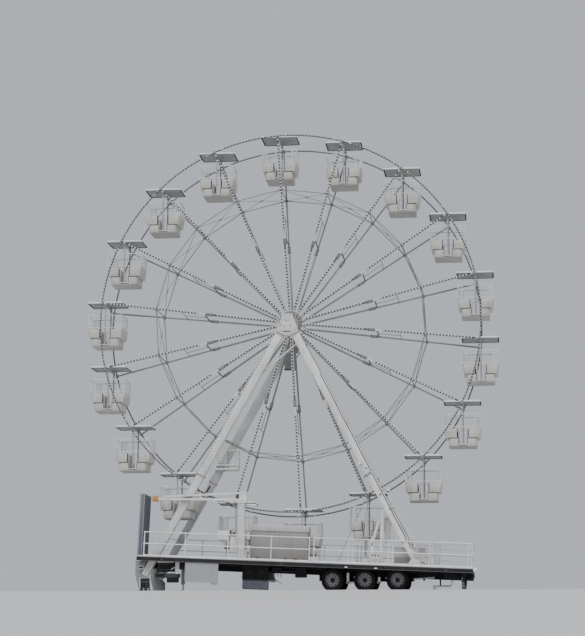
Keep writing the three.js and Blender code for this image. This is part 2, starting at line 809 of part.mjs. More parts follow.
function craneJibGeometry() {
  const { half, braces } = JIB_STRUT;
  const { upper, middle } = JIB_BARS;
  const levelAt = (beam, x) => beam.from + ((beam.to - beam.from) * x) / beam.end;
  const bars = [upper, middle].map((beam, index) =>
    bar(point(0, 0, beam.from), point(beam.end, 0, beam.to), beam.height, JIB_DEPTH - index * STEP_BACK)
  );
  const strut = (x, from, to) =>
    block(x - half, x + half, -JIB_DEPTH / 2 + OVERLAP, JIB_DEPTH / 2 - OVERLAP, from, to);
  const struts = braces.map((x) => strut(x, levelAt(middle, x), levelAt(upper, x)));
  const head = block(JIB.left, JIB.right, -JIB.halfY, JIB.halfY, JIB.bottom, JIB.top);
  const tip = block(
    JIB_TIP.left,
    JIB_TIP.right,
    -JIB_DEPTH / 2 - STEP_BACK,
    JIB_DEPTH / 2 + STEP_BACK,
    JIB_TIP.bottom,
    JIB_TIP.top
  );
  const bore = columnAlongZ(
    boreRadius(CRANE_PIN.radius, CRANE_PIN.sides, PIN_PLAY),
    JIB.bottom - OVERLAP,
    JIB.boreTop,
    CRANE_PIN.sides
  );
  return cut(fuse([head, ...bars, ...struts, tip]), [bore]).translate(CRANE.x, CRANE.y, 0);
}
addNode(ferrisWheel, "crane_jib", craneJibGeometry(), whitePaint);

// Right side of the deck: a lifting column, a prop frame and a low cabinet in two heights
const COLUMN = { x: 3195, y: -1000, radius: 82, sides: 16, top: 2250, base: 240, baseHalf: 150 };
addNode(
  trailer,
  "lifting_column",
  fuse([
    block(-COLUMN.baseHalf, COLUMN.baseHalf, -COLUMN.baseHalf, COLUMN.baseHalf, GAP, COLUMN.base),
    columnAlongZ(COLUMN.radius, COLUMN.base - OVERLAP, COLUMN.top, COLUMN.sides),
  ]).translate(COLUMN.x, COLUMN.y, 0),
  whitePaint
);

const PROP = { x: 3862, y: -1080, bar: 150, top: 2590 };
const PROP_BASE = { left: -387, right: -40, halfY: 170, top: 490 };
const PROP_BRACE = { x: -392, foot: 1140, head: 2470, bar: 110, block: 60 };

function propGeometry() {
  const half = PROP.bar / 2;
  const braceFoot = PROP_BRACE.x + PROP_BRACE.bar / 2;
  const leftPost = block(
    PROP_BRACE.x - PROP_BRACE.block,
    PROP_BRACE.x + PROP_BRACE.block,
    -PROP_BRACE.block,
    PROP_BRACE.block,
    PROP_BASE.top - OVERLAP,
    PROP_BRACE.foot + OVERLAP
  );
  return fuse([
    block(PROP_BASE.left - half, PROP_BASE.right, -PROP_BASE.halfY, PROP_BASE.halfY, GAP, PROP_BASE.top),
    block(-half, half, -half, half, GAP, PROP.top),
    leftPost,
    bar(point(braceFoot, 0, PROP_BRACE.foot), point(0, 0, PROP_BRACE.head), PROP_BRACE.bar, PROP_BRACE.bar),
  ]);
}
addNode(trailer, "prop_frame", propGeometry().translate(PROP.x, PROP.y, 0), whitePaint);

const CABINET = { left: 4402, step: 5324, right: 6309, front: -1300, back: -760, low: 770, high: 930 };
addNode(
  trailer,
  "deck_cabinet",
  fuse([
    block(
      CABINET.left,
      CABINET.step + OVERLAP,
      CABINET.front + STEP_BACK,
      CABINET.back - STEP_BACK,
      GAP,
      CABINET.low
    ),
    block(CABINET.step, CABINET.right, CABINET.front, CABINET.back, GAP, CABINET.high),
  ]),
  lidPaint
);

// Under the deck
const TOOLBOX = { left: -1930, right: -872, front: -1190, back: -640, height: 410 };
const toolboxTop = frameTop - CHASSIS_BOX.depth - GAP;
addNode(
  trailer,
  "underdeck_toolbox",
  block(TOOLBOX.left, TOOLBOX.right, TOOLBOX.front, TOOLBOX.back, toolboxTop - TOOLBOX.height, toolboxTop),
  toolboxPaint
);

const SKIRT = { left: -4212, right: -2813, outer: -2290, inner: -2250, bottom: -1019 };
const skirtTop = frameTop - EDGE_BEAM.depth - GAP;
addNode(
  trailer,
  "side_skirt",
  block(SKIRT.left, SKIRT.right, SKIRT.outer, SKIRT.inner, SKIRT.bottom, skirtTop),
  lidPaint
);

// A jack stands under the last cross beam but one at each side.
const JACK = { x: 7285, y: 1900, radius: 60, sides: 8, plate: 200, plateHeight: 30 };
const jackTop =
  deckTop(JACK.x + CROSS_BEAM.width / 2) + (frameTop - CROSS_BEAM.depth) / Math.cos(DECK_SLOPE) - GAP;
for (const side of mirrored) {
  addNode(
    ferrisWheel,
    `corner_jack_${side < 0 ? "front" : "back"}`,
    fuse([
      block(-JACK.plate, JACK.plate, -JACK.plate, JACK.plate, 0, JACK.plateHeight),
      columnAlongZ(JACK.radius, JACK.plateHeight / 2, jackTop, JACK.sides),
    ]).translate(JACK.x, side * JACK.y, 0),
    chassisPaint
  );
}

export default ferrisWheel;
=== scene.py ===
import json
import math

import bpy
from mathutils import Matrix, Vector


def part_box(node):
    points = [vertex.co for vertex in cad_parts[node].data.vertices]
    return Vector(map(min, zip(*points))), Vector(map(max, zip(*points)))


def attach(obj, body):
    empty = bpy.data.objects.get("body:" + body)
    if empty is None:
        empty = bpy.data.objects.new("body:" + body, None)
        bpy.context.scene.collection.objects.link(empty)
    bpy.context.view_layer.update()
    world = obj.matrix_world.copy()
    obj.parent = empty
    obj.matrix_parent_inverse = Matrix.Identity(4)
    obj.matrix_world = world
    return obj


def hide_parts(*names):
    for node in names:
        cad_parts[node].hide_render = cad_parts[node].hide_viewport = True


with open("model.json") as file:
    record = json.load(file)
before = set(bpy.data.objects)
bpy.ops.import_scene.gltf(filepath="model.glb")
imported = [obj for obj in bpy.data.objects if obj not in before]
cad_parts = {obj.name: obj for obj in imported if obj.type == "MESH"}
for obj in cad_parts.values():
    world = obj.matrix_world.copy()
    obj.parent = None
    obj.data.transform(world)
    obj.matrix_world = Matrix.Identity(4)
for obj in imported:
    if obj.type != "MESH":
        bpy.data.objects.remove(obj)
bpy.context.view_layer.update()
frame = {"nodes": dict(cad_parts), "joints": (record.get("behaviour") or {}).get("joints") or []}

# Camera and studio. The photographer stands well below the wheel, so the pale floor falls
# away in front of the trailer and stays flat under and behind it.
camera_data = bpy.data.cameras.new("camera")
camera_data.sensor_width = 36.0
camera_data.lens = 107.3
camera_data.clip_end = 1000.0
camera = bpy.data.objects.new("camera", camera_data)
camera.location = (9.10, -80.70, -3.04)
camera.rotation_euler = (math.radians(90 + 10.40), 0, math.radians(6.42))
bpy.context.collection.objects.link(camera)
bpy.context.scene.camera = camera

FLOOR_SIZE = 520.0
FLOOR_EDGE = -3.3
FLOOR_FALL = 26.0
bpy.ops.object.select_all(action="DESELECT")
bpy.ops.mesh.primitive_plane_add(size=FLOOR_SIZE, location=(0, 0, -0.004))
floor = bpy.context.object
floor.name = "studio_floor"
bpy.ops.object.transform_apply(location=True, rotation=True, scale=True)
bpy.ops.object.mode_set(mode="EDIT")
bpy.ops.mesh.bisect(plane_co=(0, FLOOR_EDGE, 0), plane_no=(0, 1, 0))
bpy.ops.mesh.select_all(action="DESELECT")
bpy.ops.object.mode_set(mode="OBJECT")
for vertex in floor.data.vertices:
    vertex.select = vertex.co.y < FLOOR_EDGE - 1
bpy.ops.object.mode_set(mode="EDIT")
bpy.ops.transform.translate(value=(0, 0, -FLOOR_FALL))
bpy.ops.object.mode_set(mode="OBJECT")
floor_paint = bpy.data.materials.new("studio_floor")
floor_paint.use_nodes = True
floor_shader = floor_paint.node_tree.nodes["Principled BSDF"]
floor_shader.inputs["Base Color"].default_value = (0.52, 0.52, 0.515, 1)
floor_shader.inputs["Roughness"].default_value = 0.9
floor.data.materials.append(floor_paint)

world = bpy.data.worlds.new("studio")
world.use_nodes = True
world.node_tree.nodes["Background"].inputs["Color"].default_value = (0.585, 0.615, 0.68, 1)
world.node_tree.nodes["Background"].inputs["Strength"].default_value = 0.90
bpy.context.scene.world = world
sky_data = bpy.data.lights.new("overcast_sky", "SUN")
sky_data.energy = 2.9
sky_data.angle = math.radians(60)
sky = bpy.data.objects.new("overcast_sky", sky_data)
sky.rotation_euler = (math.radians(34), math.radians(8), math.radians(-12))
bpy.context.collection.objects.link(sky)

# Gondolas. Each is a moulded shell in two halves on a steel frame: a flat roof, two hanger
# posts with a bearing on the pin, a pair of seats that face each other, and a hand rail.
# One is modelled round its pivot and copied to the other pins.
pivots = {joint["child"]: Vector(joint["pos_m"]) for joint in frame["joints"]}


def paint(name, colour, dirt_colour, dirt, roughness, metallic=0.0, grain=2.2, bump=0.02, shine=0.5):
    """Weathered paint: cloudy tone, runs of dirt that fall along Z, and uneven gloss."""
    material = bpy.data.materials.new(name)
    material.use_nodes = True
    nodes = material.node_tree.nodes
    link = material.node_tree.links.new
    shader = nodes["Principled BSDF"]
    shader.inputs["Metallic"].default_value = metallic
    shader.inputs["Specular IOR Level"].default_value = shine
    place = nodes.new("ShaderNodeTexCoord")
    runs = nodes.new("ShaderNodeMapping")
    runs.inputs["Scale"].default_value = (1.0, 1.0, 0.18)
    link(place.outputs["Object"], runs.inputs["Vector"])
    streaks = nodes.new("ShaderNodeTexNoise")
    streaks.inputs["Scale"].default_value = grain * 4
    streaks.inputs["Detail"].default_value = 6
    streaks.inputs["Roughness"].default_value = 0.62
    link(runs.outputs["Vector"], streaks.inputs["Vector"])
    clouds = nodes.new("ShaderNodeTexNoise")
    clouds.inputs["Scale"].default_value = grain
    clouds.inputs["Detail"].default_value = 5
    link(place.outputs["Object"], clouds.inputs["Vector"])
    both = nodes.new("ShaderNodeMath")
    both.operation = "MULTIPLY"
    link(streaks.outputs["Fac"], both.inputs[0])
    link(clouds.outputs["Fac"], both.inputs[1])
    amount = nodes.new("ShaderNodeMapRange")
    amount.inputs["From Min"].default_value = 0.16
    amount.inputs["From Max"].default_value = 0.42
    amount.inputs["To Max"].default_value = dirt
    link(both.outputs["Value"], amount.inputs["Value"])
    mix = nodes.new("ShaderNodeMix")
    mix.data_type = "RGBA"
    mix.inputs["A"].default_value = (*colour, 1)
    mix.inputs["B"].default_value = (*dirt_colour, 1)
    link(amount.outputs["Result"], mix.inputs["Factor"])
    link(mix.outputs["Result"], shader.inputs["Base Color"])
    gloss = nodes.new("ShaderNodeMapRange")
    gloss.inputs["To Min"].default_value = roughness - 0.08
    gloss.inputs["To Max"].default_value = roughness + 0.14
    link(clouds.outputs["Fac"], gloss.inputs["Value"])
    link(gloss.outputs["Result"], shader.inputs["Roughness"])
    skin = nodes.new("ShaderNodeTexNoise")
    skin.inputs["Scale"].default_value = 55
    skin.inputs["Detail"].default_value = 3
    link(place.outputs["Object"], skin.inputs["Vector"])
    relief = nodes.new("ShaderNodeBump")
    relief.inputs["Strength"].default_value = 0.25
    relief.inputs["Distance"].default_value = bump * 0.1
    link(skin.outputs["Fac"], relief.inputs["Height"])
    link(relief.outputs["Normal"], shader.inputs["Normal"])
    return material


def made(material):
    """Puts the place of the new primitive into its mesh and gives it its material."""
    bpy.ops.object.transform_apply(location=True, rotation=True, scale=True)
    piece = bpy.context.object
    piece.data.materials.append(material)
    return piece


def select(piece, kind, test):
    """Leaves edit mode with only the elements of one kind selected that pass the test."""
    bpy.ops.object.select_all(action="DESELECT")
    piece.select_set(True)
    bpy.context.view_layer.objects.active = piece
    bpy.ops.object.mode_set(mode="EDIT")
    bpy.ops.mesh.select_mode(type=kind)
    bpy.ops.mesh.select_all(action="DESELECT")
    bpy.ops.object.mode_set(mode="OBJECT")
    mesh = piece.data
    for element in {"VERT": mesh.vertices, "EDGE": mesh.edges, "FACE": mesh.polygons}[kind]:
        element.select = test(element)
    bpy.ops.object.mode_set(mode="EDIT")


def block(material, low, high, edge=0.0, steps=1):
    """A box between two corners, with its edges bevelled, less on a thin sheet."""
    low, high = (Vector([pick(pair) for pair in zip(low, high)]) for pick in (min, max))
    edge = min(edge, min(high - low) * 0.4)
    bpy.ops.object.select_all(action="DESELECT")
    bpy.ops.mesh.primitive_cube_add(size=1, location=(low + high) / 2, scale=high - low)
    piece = made(material)
    if edge:
        bpy.ops.object.mode_set(mode="EDIT")
        bpy.ops.mesh.bevel(offset=edge, segments=steps, affect="EDGES")
        bpy.ops.object.mode_set(mode="OBJECT")
    return piece


def tube(material, start, end, radius, sides=12, edge=0.0):
    """A round bar between two points, with its ends bevelled."""
    start = Vector(start)
    end = Vector(end)
    length = (end - start).length
    edge = min(edge, length * 0.4, radius * 0.5)
    bpy.ops.object.select_all(action="DESELECT")
    bpy.ops.mesh.primitive_cylinder_add(
        vertices=sides, radius=radius, depth=length, location=(start + end) / 2,
        rotation=(end - start).to_track_quat("Z", "Y").to_euler(),
    )
    piece = made(material)
    if edge:
        select(piece, "FACE", lambda face: len(face.vertices) > 4)
        bpy.ops.mesh.bevel(offset=edge, segments=1, affect="EDGES")
        bpy.ops.mesh.select_mode(type="VERT")
        bpy.ops.object.mode_set(mode="OBJECT")
    return piece


def round_edges(piece, width, steps, test):
    """Bevels the edges whose two ends pass the test."""
    ends = [vertex.co.copy() for vertex in piece.data.vertices]
    select(piece, "EDGE", lambda edge: test(ends[edge.vertices[0]], ends[edge.vertices[1]]))
    bpy.ops.mesh.bevel(offset=width, segments=steps, affect="EDGES")
    bpy.ops.object.mode_set(mode="OBJECT")


def rounded(piece, width):
    """Rounds the sharp edges of the active piece with a bevel of two steps."""
    bpy.ops.object.modifier_add(type="BEVEL")
    bevel = piece.modifiers[-1]
    bevel.width = width
    bevel.segments = 2
    bevel.limit_method = "ANGLE"
    bevel.angle_limit = math.radians(40)
    bpy.ops.object.modifier_apply(modifier=bevel.name)


def join(name, parts, angle=0):
    """Joins parts into the first one, names it, and smooths edges flatter than the angle."""
    bpy.ops.object.select_all(action="DESELECT")
    for part in parts:
        part.select_set(True)
    bpy.context.view_layer.objects.active = parts[0]
    bpy.ops.object.join()
    whole = bpy.context.object
    whole.name = name
    whole.data.name = name
    if angle:
        bpy.ops.object.shade_smooth_by_angle(angle=math.radians(angle))
    return whole


def copy_of(piece, place, name="copy"):
    """A copy with its own mesh, put in place by a matrix."""
    twin = piece.copy()
    twin.data = piece.data.copy()
    twin.data.transform(place)
    twin.name = name
    bpy.context.collection.objects.link(twin)
    return twin


shell = paint("gondola_shell", (0.54, 0.53, 0.485), (0.28, 0.26, 0.23), 0.45, 0.42)
rail_white = paint("white_rail", (0.76, 0.76, 0.74), (0.34, 0.33, 0.31), 0.5, 0.4, metallic=0.1)
# Near-black paint for painted shadow: the shadow gap under the roof's lip, the shadow under the upper
# shell's overhang and under each floor sill, and the shade where the two seat halves meet.
painted_shadow_lines = paint("painted_shadow_line_dark", (0.014, 0.014, 0.016), (0.05, 0.046, 0.042), 0.5, 0.7, shine=0.2)
roof_white = paint("roof_edge_white", (0.86, 0.86, 0.84), (0.50, 0.49, 0.46), 0.4, 0.35)
# Mid grey for the roof's underside: painted shade under the white roof.
roof_underside_shade = paint("roof_underside_painted_shade", (0.34, 0.34, 0.345), (0.19, 0.19, 0.19), 0.5, 0.6)
# A darker copy of the shell's tone for the floor pan under the feet: painted shade on the underside.
floor_pan_shade = paint("floor_pan_painted_shade", (0.40, 0.38, 0.35), (0.22, 0.20, 0.18), 0.5, 0.55)
post_grey = paint("hanger_paint", (0.40, 0.40, 0.395), (0.20, 0.19, 0.18), 0.5, 0.4, metallic=0.1)
seat_pad = paint("seat_lining", (0.27, 0.27, 0.26), (0.12, 0.12, 0.12), 0.5, 0.7)

GONDOLAS = 18
ROOF = {"x": 0.803, "y": 0.698, "corner": 0.125, "bottom": 0.112, "top": 0.186}
POST_Y = 0.585
TUB_Y = 0.638
STEP_Y = 0.610
RAIL_X = 0.750
RAIL_Y = 0.620
RAIL_TOP = -0.414
RAIL_LOW = -0.952
TUB_TOP = -1.032
TUB_LOW = -1.418
STEP_LOW = -1.776


def gondola_roof():
    roof = block(
        roof_white, (-ROOF["x"], -ROOF["y"], ROOF["bottom"]), (ROOF["x"], ROOF["y"], ROOF["top"] - 0.02)
    )
    round_edges(roof, ROOF["corner"], 4, lambda first, second: abs(first.z - second.z) > 0.01)
    roof.data.materials.append(painted_shadow_lines)
    roof.data.materials.append(roof_underside_shade)
    select(roof, "FACE", lambda face: face.normal.z > 0.9)
    bpy.ops.mesh.inset(thickness=0.02, depth=0.012)
    bpy.ops.mesh.inset(thickness=0.075, depth=0.008)
    bpy.ops.object.mode_set(mode="OBJECT")
    select(roof, "FACE", lambda face: face.normal.z < -0.9)
    # Painted shadow: a near-black ring round the roof's underside for the shadow gap under its lip.
    roof.active_material_index = 1
    bpy.ops.mesh.inset(thickness=0.004, depth=0)
    bpy.ops.object.material_slot_assign()
    bpy.ops.mesh.inset(thickness=0.055, depth=-0.008)
    # The rest of the underside takes the mid grey: painted shade.
    roof.active_material_index = 2
    bpy.ops.object.material_slot_assign()
    bpy.ops.mesh.inset(thickness=0.015, depth=-0.012)
    bpy.ops.object.mode_set(mode="OBJECT")
    return roof


def seat_half(side):
    """An upper shell that leans outwards over a narrower foot, with a bench inside."""
    inner = 0.247
    parts = []
    for x0, x1, lean, half, low, high, hollow in (
        (inner, 0.770, 0.055, TUB_Y, TUB_LOW, TUB_TOP, 0.22),
        (0.192, 0.604, 0.014, STEP_Y, STEP_LOW + 0.020, TUB_LOW + 0.01, 0.0),
    ):
        shape = block(shell, (x0, -half, low), (x1, half, high))
        select(shape, "VERT", lambda vertex: vertex.co.x > x1 - 0.01 and vertex.co.z < low + 0.01)
        bpy.ops.transform.translate(value=(-lean, 0, 0))
        bpy.ops.object.mode_set(mode="OBJECT")
        round_edges(
            shape, 0.10, 2, lambda first, second: abs(first.z - second.z) > 0.2 and first.x > x0 + 0.1
        )
        if hollow:
            select(shape, "FACE", lambda face: face.normal.z > 0.9)
            bpy.ops.mesh.inset(thickness=0.035, depth=0)
            bpy.ops.mesh.extrude_region_move(TRANSFORM_OT_translate={"value": (0, 0, -hollow)})
            bpy.ops.object.mode_set(mode="OBJECT")
        rounded(shape, 0.012)
        parts.append(shape)
    bench = block(seat_pad, (inner + 0.04, -TUB_Y + 0.05, -1.26), (0.62, TUB_Y - 0.05, -1.225), 0.014, 2)
    parts.append(bench)
    back_rest = block(seat_pad, (0.655, -TUB_Y + 0.09, -1.21), (0.70, TUB_Y - 0.09, -1.05), 0.014, 2)
    parts.append(back_rest)
    # Painted shadow: dark strips down the inner edges where the halves meet, and one under the upper
    # shell's overhang.
    for x0, x1, y, proud, low, high in (
        (inner - 0.028, inner + 0.002, TUB_Y, 0.001, TUB_LOW + 0.02, TUB_TOP + 0.01),
        (0.164, 0.195, STEP_Y, 0.001, STEP_LOW + 0.09, TUB_LOW + 0.02),
        (0.21, 0.60, STEP_Y, 0.012, TUB_LOW - 0.022, TUB_LOW),
    ):
        inset = 0.01 if proud > 0.01 else 0.02
        for end in (-1, 1):
            strip = block(painted_shadow_lines, (x0, end * (y - inset), low), (x1, end * (y + proud), high), 0.003)
            parts.append(strip)
    half = join("seat_half", parts)
    if side < 0:
        half.data.transform(Matrix.Rotation(math.pi, 4, "Z"))
    return half


def gondola_rails():
    """A hand rail all round, a low rail just over the shell, and upright bars at the corners."""
    bars = []
    for height, radius in ((RAIL_TOP, 0.016), (RAIL_LOW, 0.013)):
        for end in (-1, 1):
            bars.append(tube(
                rail_white, (-RAIL_X, end * RAIL_Y, height), (RAIL_X, end * RAIL_Y, height), radius, 8,
            ))
            bars.append(tube(
                rail_white, (end * RAIL_X, -RAIL_Y, height), (end * RAIL_X, RAIL_Y, height), radius, 8,
            ))
    for side in (-1, 1):
        for end in (-1, 1):
            for x, radius in ((RAIL_X, 0.016), (0.70, 0.008), (0.65, 0.008), (0.60, 0.008), (0.545, 0.017)):
                foot = (side * x, end * RAIL_Y, TUB_TOP - 0.01)
                bars.append(tube(rail_white, foot, (side * x, end * RAIL_Y, RAIL_TOP), radius, 8))
        for step in range(1, 12):
            y = -RAIL_Y + 2 * RAIL_Y * step / 12
            foot = (side * RAIL_X, y, TUB_TOP - 0.01)
            bars.append(tube(rail_white, foot, (side * RAIL_X, y, RAIL_TOP), 0.008, 6))
        for end in (-1, 1):
            bars.append(tube(
                rail_white, (side * 0.165, end * 0.60, STEP_LOW + 0.06),
                (side * 0.165, end * 0.60, RAIL_LOW), 0.012, 8,
            ))
    return bars


def gondola_posts():
    """The hanger posts, the bearing housing round the pin, the floor and its bright sills, with a painted
    shadow line under each sill.
    """
    parts = []
    for end in (-1, 1):
        for material, half, y0, y1, low, high, edge, steps in (
            (post_grey, 0.030, POST_Y - 0.022, POST_Y + 0.022, STEP_LOW + 0.03, 0.115, 0.008, 2),
            (post_grey, 0.060, POST_Y - 0.038, POST_Y + 0.040, 0.07, 0.113, 0.008, 1),
            (rail_white, 0.20, STEP_Y - 0.03, STEP_Y + 0.016, STEP_LOW + 0.055, STEP_LOW + 0.085, 0.006, 1),
            (painted_shadow_lines, 0.19, STEP_Y - 0.02, STEP_Y + 0.006, STEP_LOW + 0.03, STEP_LOW + 0.052, 0.003, 1),
        ):
            parts.append(block(material, (-half, end * y0, low), (half, end * y1, high), edge, steps))
        y0, y1 = sorted((end * (POST_Y - 0.038), end * (POST_Y + 0.040)))
        parts.append(tube(post_grey, (0, y0, 0), (0, y1, 0), 0.058, 20, 0.008))
    # The floor pan takes the darker shell tone: painted shade.
    pan = block(
        floor_pan_shade, (-0.596, -STEP_Y - 0.004, STEP_LOW), (0.596, STEP_Y + 0.004, STEP_LOW + 0.028)
    )
    round_edges(pan, 0.10, 3, lambda first, second: abs(first.z - second.z) > 0.01)
    parts.append(pan)
    return parts


gondola = join(
    "gondola",
    [gondola_roof(), seat_half(1), seat_half(-1), *gondola_rails(), *gondola_posts()],
    30,
)
for number in range(1, GONDOLAS + 1):
    node = f"gondola_{number:02d}"
    cabin = copy_of(gondola, Matrix.Translation(pivots[node]), f"cabin_{number:02d}")
    cabin.data.name = cabin.name
    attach(cabin, node)
    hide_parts(node)
bpy.data.objects.remove(gondola)

# Spoke frames. A front and a back chord of rectangular tube spread from the hub to the rims,
# wider up to a bolted hinge near half way. Cross tubes join the two chords, ties and crossed
# stays join each frame to the next, and a lamp strip runs down the front chord.
hub = pivots["wheel"]
PIVOT_RADIUS = (pivots["gondola_01"] - hub).length
RIM_Y = 1.31
FLANGE_RADIUS = 0.47
FLANGE_Y = 0.60
CHORD_SPREAD = 0.0831
INNER_END = 3.77
TIE_RADIUS = 5.85
TICK_RADIUS = 4.75
LAMP_PITCH = 0.139


def chord_y(radius):
    return FLANGE_Y + (radius - FLANGE_RADIUS) * CHORD_SPREAD


def pin_angle(number):
    """The angle of a gondola's pin round the hub, from straight up."""
    arm = pivots[f"gondola_{number:02d}"] - hub
    return math.atan2(arm.x, arm.z)


def chord_bar(material, side, start, end, width, depth):
    """A rectangular tube along a chord, with rounded corners."""
    lean = math.atan(CHORD_SPREAD) * side
    piece = block(material, (-width / 2, -depth / 2, start), (width / 2, depth / 2, end), 0.010, 2)
    piece.data.transform(Matrix.Translation((0, side * chord_y(0), 0)) @ Matrix.Rotation(-lean, 4, "X"))
    return piece


def ball(material, radius, centre=(0, 0, 0), segments=8, rings=4):
    """A round lamp or lamp cap."""
    bpy.ops.object.select_all(action="DESELECT")
    bpy.ops.mesh.primitive_uv_sphere_add(
        segments=segments, ring_count=rings, radius=radius, location=centre
    )
    return made(material)


def lamp_row(start, end):
    """A dark channel along the front chord with a row of white lamp caps."""
    inner = start < INNER_END
    face = 0.041 if inner else 0.036
    half = 0.036 if inner else 0.033
    channel = block(lamp_channel, (-half, -0.008 - face, start), (half, -face + 0.004, end), 0.003)
    cap = ball(lamp_white, 0.033)
    cap.data.transform(
        Matrix.Translation((0, -face - 0.010, start + 0.05)) @ Matrix.Diagonal((1, 0.8, 1, 1)),
    )
    bpy.ops.object.modifier_add(type="ARRAY")
    array = cap.modifiers[-1]
    array.use_relative_offset = False
    array.use_constant_offset = True
    array.constant_offset_displace = (0, 0, LAMP_PITCH)
    array.count = int((end - start) / LAMP_PITCH)
    bpy.ops.object.modifier_apply(modifier=array.name)
    row = join("lamp_row", [channel, cap])
    row.data.transform(
        Matrix.Translation((0, -chord_y(0), 0)) @ Matrix.Rotation(math.atan(CHORD_SPREAD), 4, "X"),
    )
    return row


lamp_channel = paint("lamp_channel", (0.055, 0.055, 0.058), (0.03, 0.03, 0.03), 0.5, 0.5)
lamp_white = paint("lamp_cap", (0.82, 0.82, 0.80), (0.55, 0.55, 0.52), 0.3, 0.22, grain=9)
# The wheel's white steel painted dark grey: painted shade, for the back chords and for the ties, blocks,
# bosses and clamps round the wheel.
shaded_wheel_white = paint(
    "wheel_white_painted_shade", (0.22, 0.22, 0.22), (0.13, 0.125, 0.12), 0.5, 0.42, metallic=0.1, grain=1.4,
)
chord_white = paint("chord_paint", (0.62, 0.62, 0.61), (0.33, 0.32, 0.30), 0.5, 0.42, grain=1.4)
bare_steel = paint("zinc_steel", (0.42, 0.42, 0.42), (0.20, 0.19, 0.18), 0.5, 0.38, metallic=0.85, grain=5)
# Near black for dark joints, bolts, seams and gaskets, and for painted shade: the shadow across the chords
# at the inner cross tube, and the insides of holes, slots and recesses.
dark_joints_and_painted_shade = paint("dark_joints_and_painted_shade", (0.06, 0.06, 0.062), (0.14, 0.12, 0.10), 0.6, 0.5, metallic=0.4, grain=6)
hinge_grey = paint("hinge_steel", (0.20, 0.20, 0.20), (0.10, 0.09, 0.08), 0.6, 0.5, metallic=0.4, grain=6)


def spoke_frame():
    parts = []
    for side in (-1, 1):
        inner_width = 0.118 if side < 0 else 0.080
        # The front chords take the lit white and the back chords the dark grey: painted shade on the back
        # chords.
        chord_paint = chord_white if side < 0 else shaded_wheel_white
        parts.append(chord_bar(chord_paint, side, 0.50, INNER_END, inner_width, 0.068))
        parts.append(chord_bar(chord_paint, side, INNER_END - 0.03, PIVOT_RADIUS - 0.02, 0.068, 0.058))
        parts.append(chord_bar(hinge_grey, side, 3.41, 3.71, 0.128, 0.078))
        for radius in (3.42, 3.70):
            parts.append(chord_bar(dark_joints_and_painted_shade, side, radius - 0.012, radius + 0.012, 0.136, 0.086))
        for radius in (3.44, 3.56, 3.68):
            y = side * chord_y(radius)
            parts.append(tube(bare_steel, (-0.078, y, radius), (0.078, y, radius), 0.016, 6, 0.003))
        foot = chord_bar(shaded_wheel_white, side, 0.478, 0.52, 0.150, 0.095)
        parts.append(foot)
        for x in (-0.045, 0.045):
            y = side * (chord_y(0.5) + 0.045)
            parts.append(tube(bare_steel, (x, y, 0.499), (x, y + side * 0.02, 0.499), 0.012, 6))
        y0, y1 = sorted((side * (chord_y(TIE_RADIUS) - 0.04), side * (chord_y(TIE_RADIUS) + 0.04)))
        parts.append(block(
            shaded_wheel_white, (-0.075, y0, TIE_RADIUS - 0.06), (0.075, y1, TIE_RADIUS + 0.06), 0.012,
        ))
        y0, y1 = sorted((side * (RIM_Y - 0.115), side * (RIM_Y - 0.034)))
        parts.append(block(
            shaded_wheel_white, (-0.055, y0, PIVOT_RADIUS - 0.09), (0.055, y1, PIVOT_RADIUS + 0.06), 0.012,
        ))
        y0, y1 = sorted((side * (POST_Y + 0.045), side * (POST_Y + 0.085)))
        parts.append(tube(bare_steel, (0, y0, PIVOT_RADIUS), (0, y1, PIVOT_RADIUS), 0.048, 12, 0.006))
    # The cross tube at INNER_END is painted near black: painted shadow across the chords there.
    for radius, size, material in (
        (INNER_END, 0.030, dark_joints_and_painted_shade), (TIE_RADIUS, 0.024, shaded_wheel_white), (TICK_RADIUS, 0.016, shaded_wheel_white)
    ):
        y = chord_y(radius)
        parts.append(tube(material, (0, -y, radius), (0, y, radius), size, 10))
    parts.append(tube(shaded_wheel_white, (0, 0, INNER_END), (0, 0, TICK_RADIUS), 0.017, 8))
    pin_end = RIM_Y - 0.036
    parts.append(tube(
        bare_steel, (0, -pin_end, PIVOT_RADIUS), (0, pin_end, PIVOT_RADIUS), 0.029, 14, 0.004,
    ))
    parts.append(lamp_row(0.62, 3.40))
    parts.append(lamp_row(4.05, 8.05))
    return parts


def bay_ties():
    """The ties and crossed stays from this frame to the next one round the wheel."""
    turn = Matrix.Rotation(2 * math.pi / GONDOLAS, 4, "Y")
    y = chord_y(TIE_RADIUS)
    parts = []
    middles = []
    for start_side in (-1, 1):
        start = Vector((0, start_side * y, TIE_RADIUS))
        for end_side in (-1, 1):
            end = turn @ Vector((0, end_side * y, TIE_RADIUS))
            straight = start_side == end_side
            parts.append(tube(shaded_wheel_white, start, end, 0.020 if straight else 0.011, 8))
            middles.append((start + end) / 2)
    knot = middles[1]
    half = Vector((0, 0, 0.03))
    parts.append(tube(shaded_wheel_white, knot - half, knot + half, 0.05, 8, 0.008))
    return parts


frame_piece = join("spoke_frame", spoke_frame() + bay_ties(), 30)
for group in range(6):
    parts = []
    for number in range(3 * group + 1, 3 * group + 4):
        turn = Matrix.Rotation(pin_angle(number), 4, "Y")
        parts.append(copy_of(frame_piece, Matrix.Translation(hub) @ turn))
    spokes = join(f"spoke_frames_{group + 1}", parts)
    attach(spokes, "wheel")
    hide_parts(f"spoke_group_{group + 1}")
bpy.data.objects.remove(frame_piece)

# Rims. Two rings of round tube carry the outer ends of the spoke frames. Each is bolted
# together from arcs at sleeves beside the pins, and the front one carries a lamp strip.
# Near black for the light grey rim tubes: painted shade, for tubes seen back-lit against the sky.
rim_tube_shade = paint("rim_tube_painted_shade", (0.12, 0.12, 0.122), (0.07, 0.068, 0.065), 0.5, 0.45, grain=1.4)


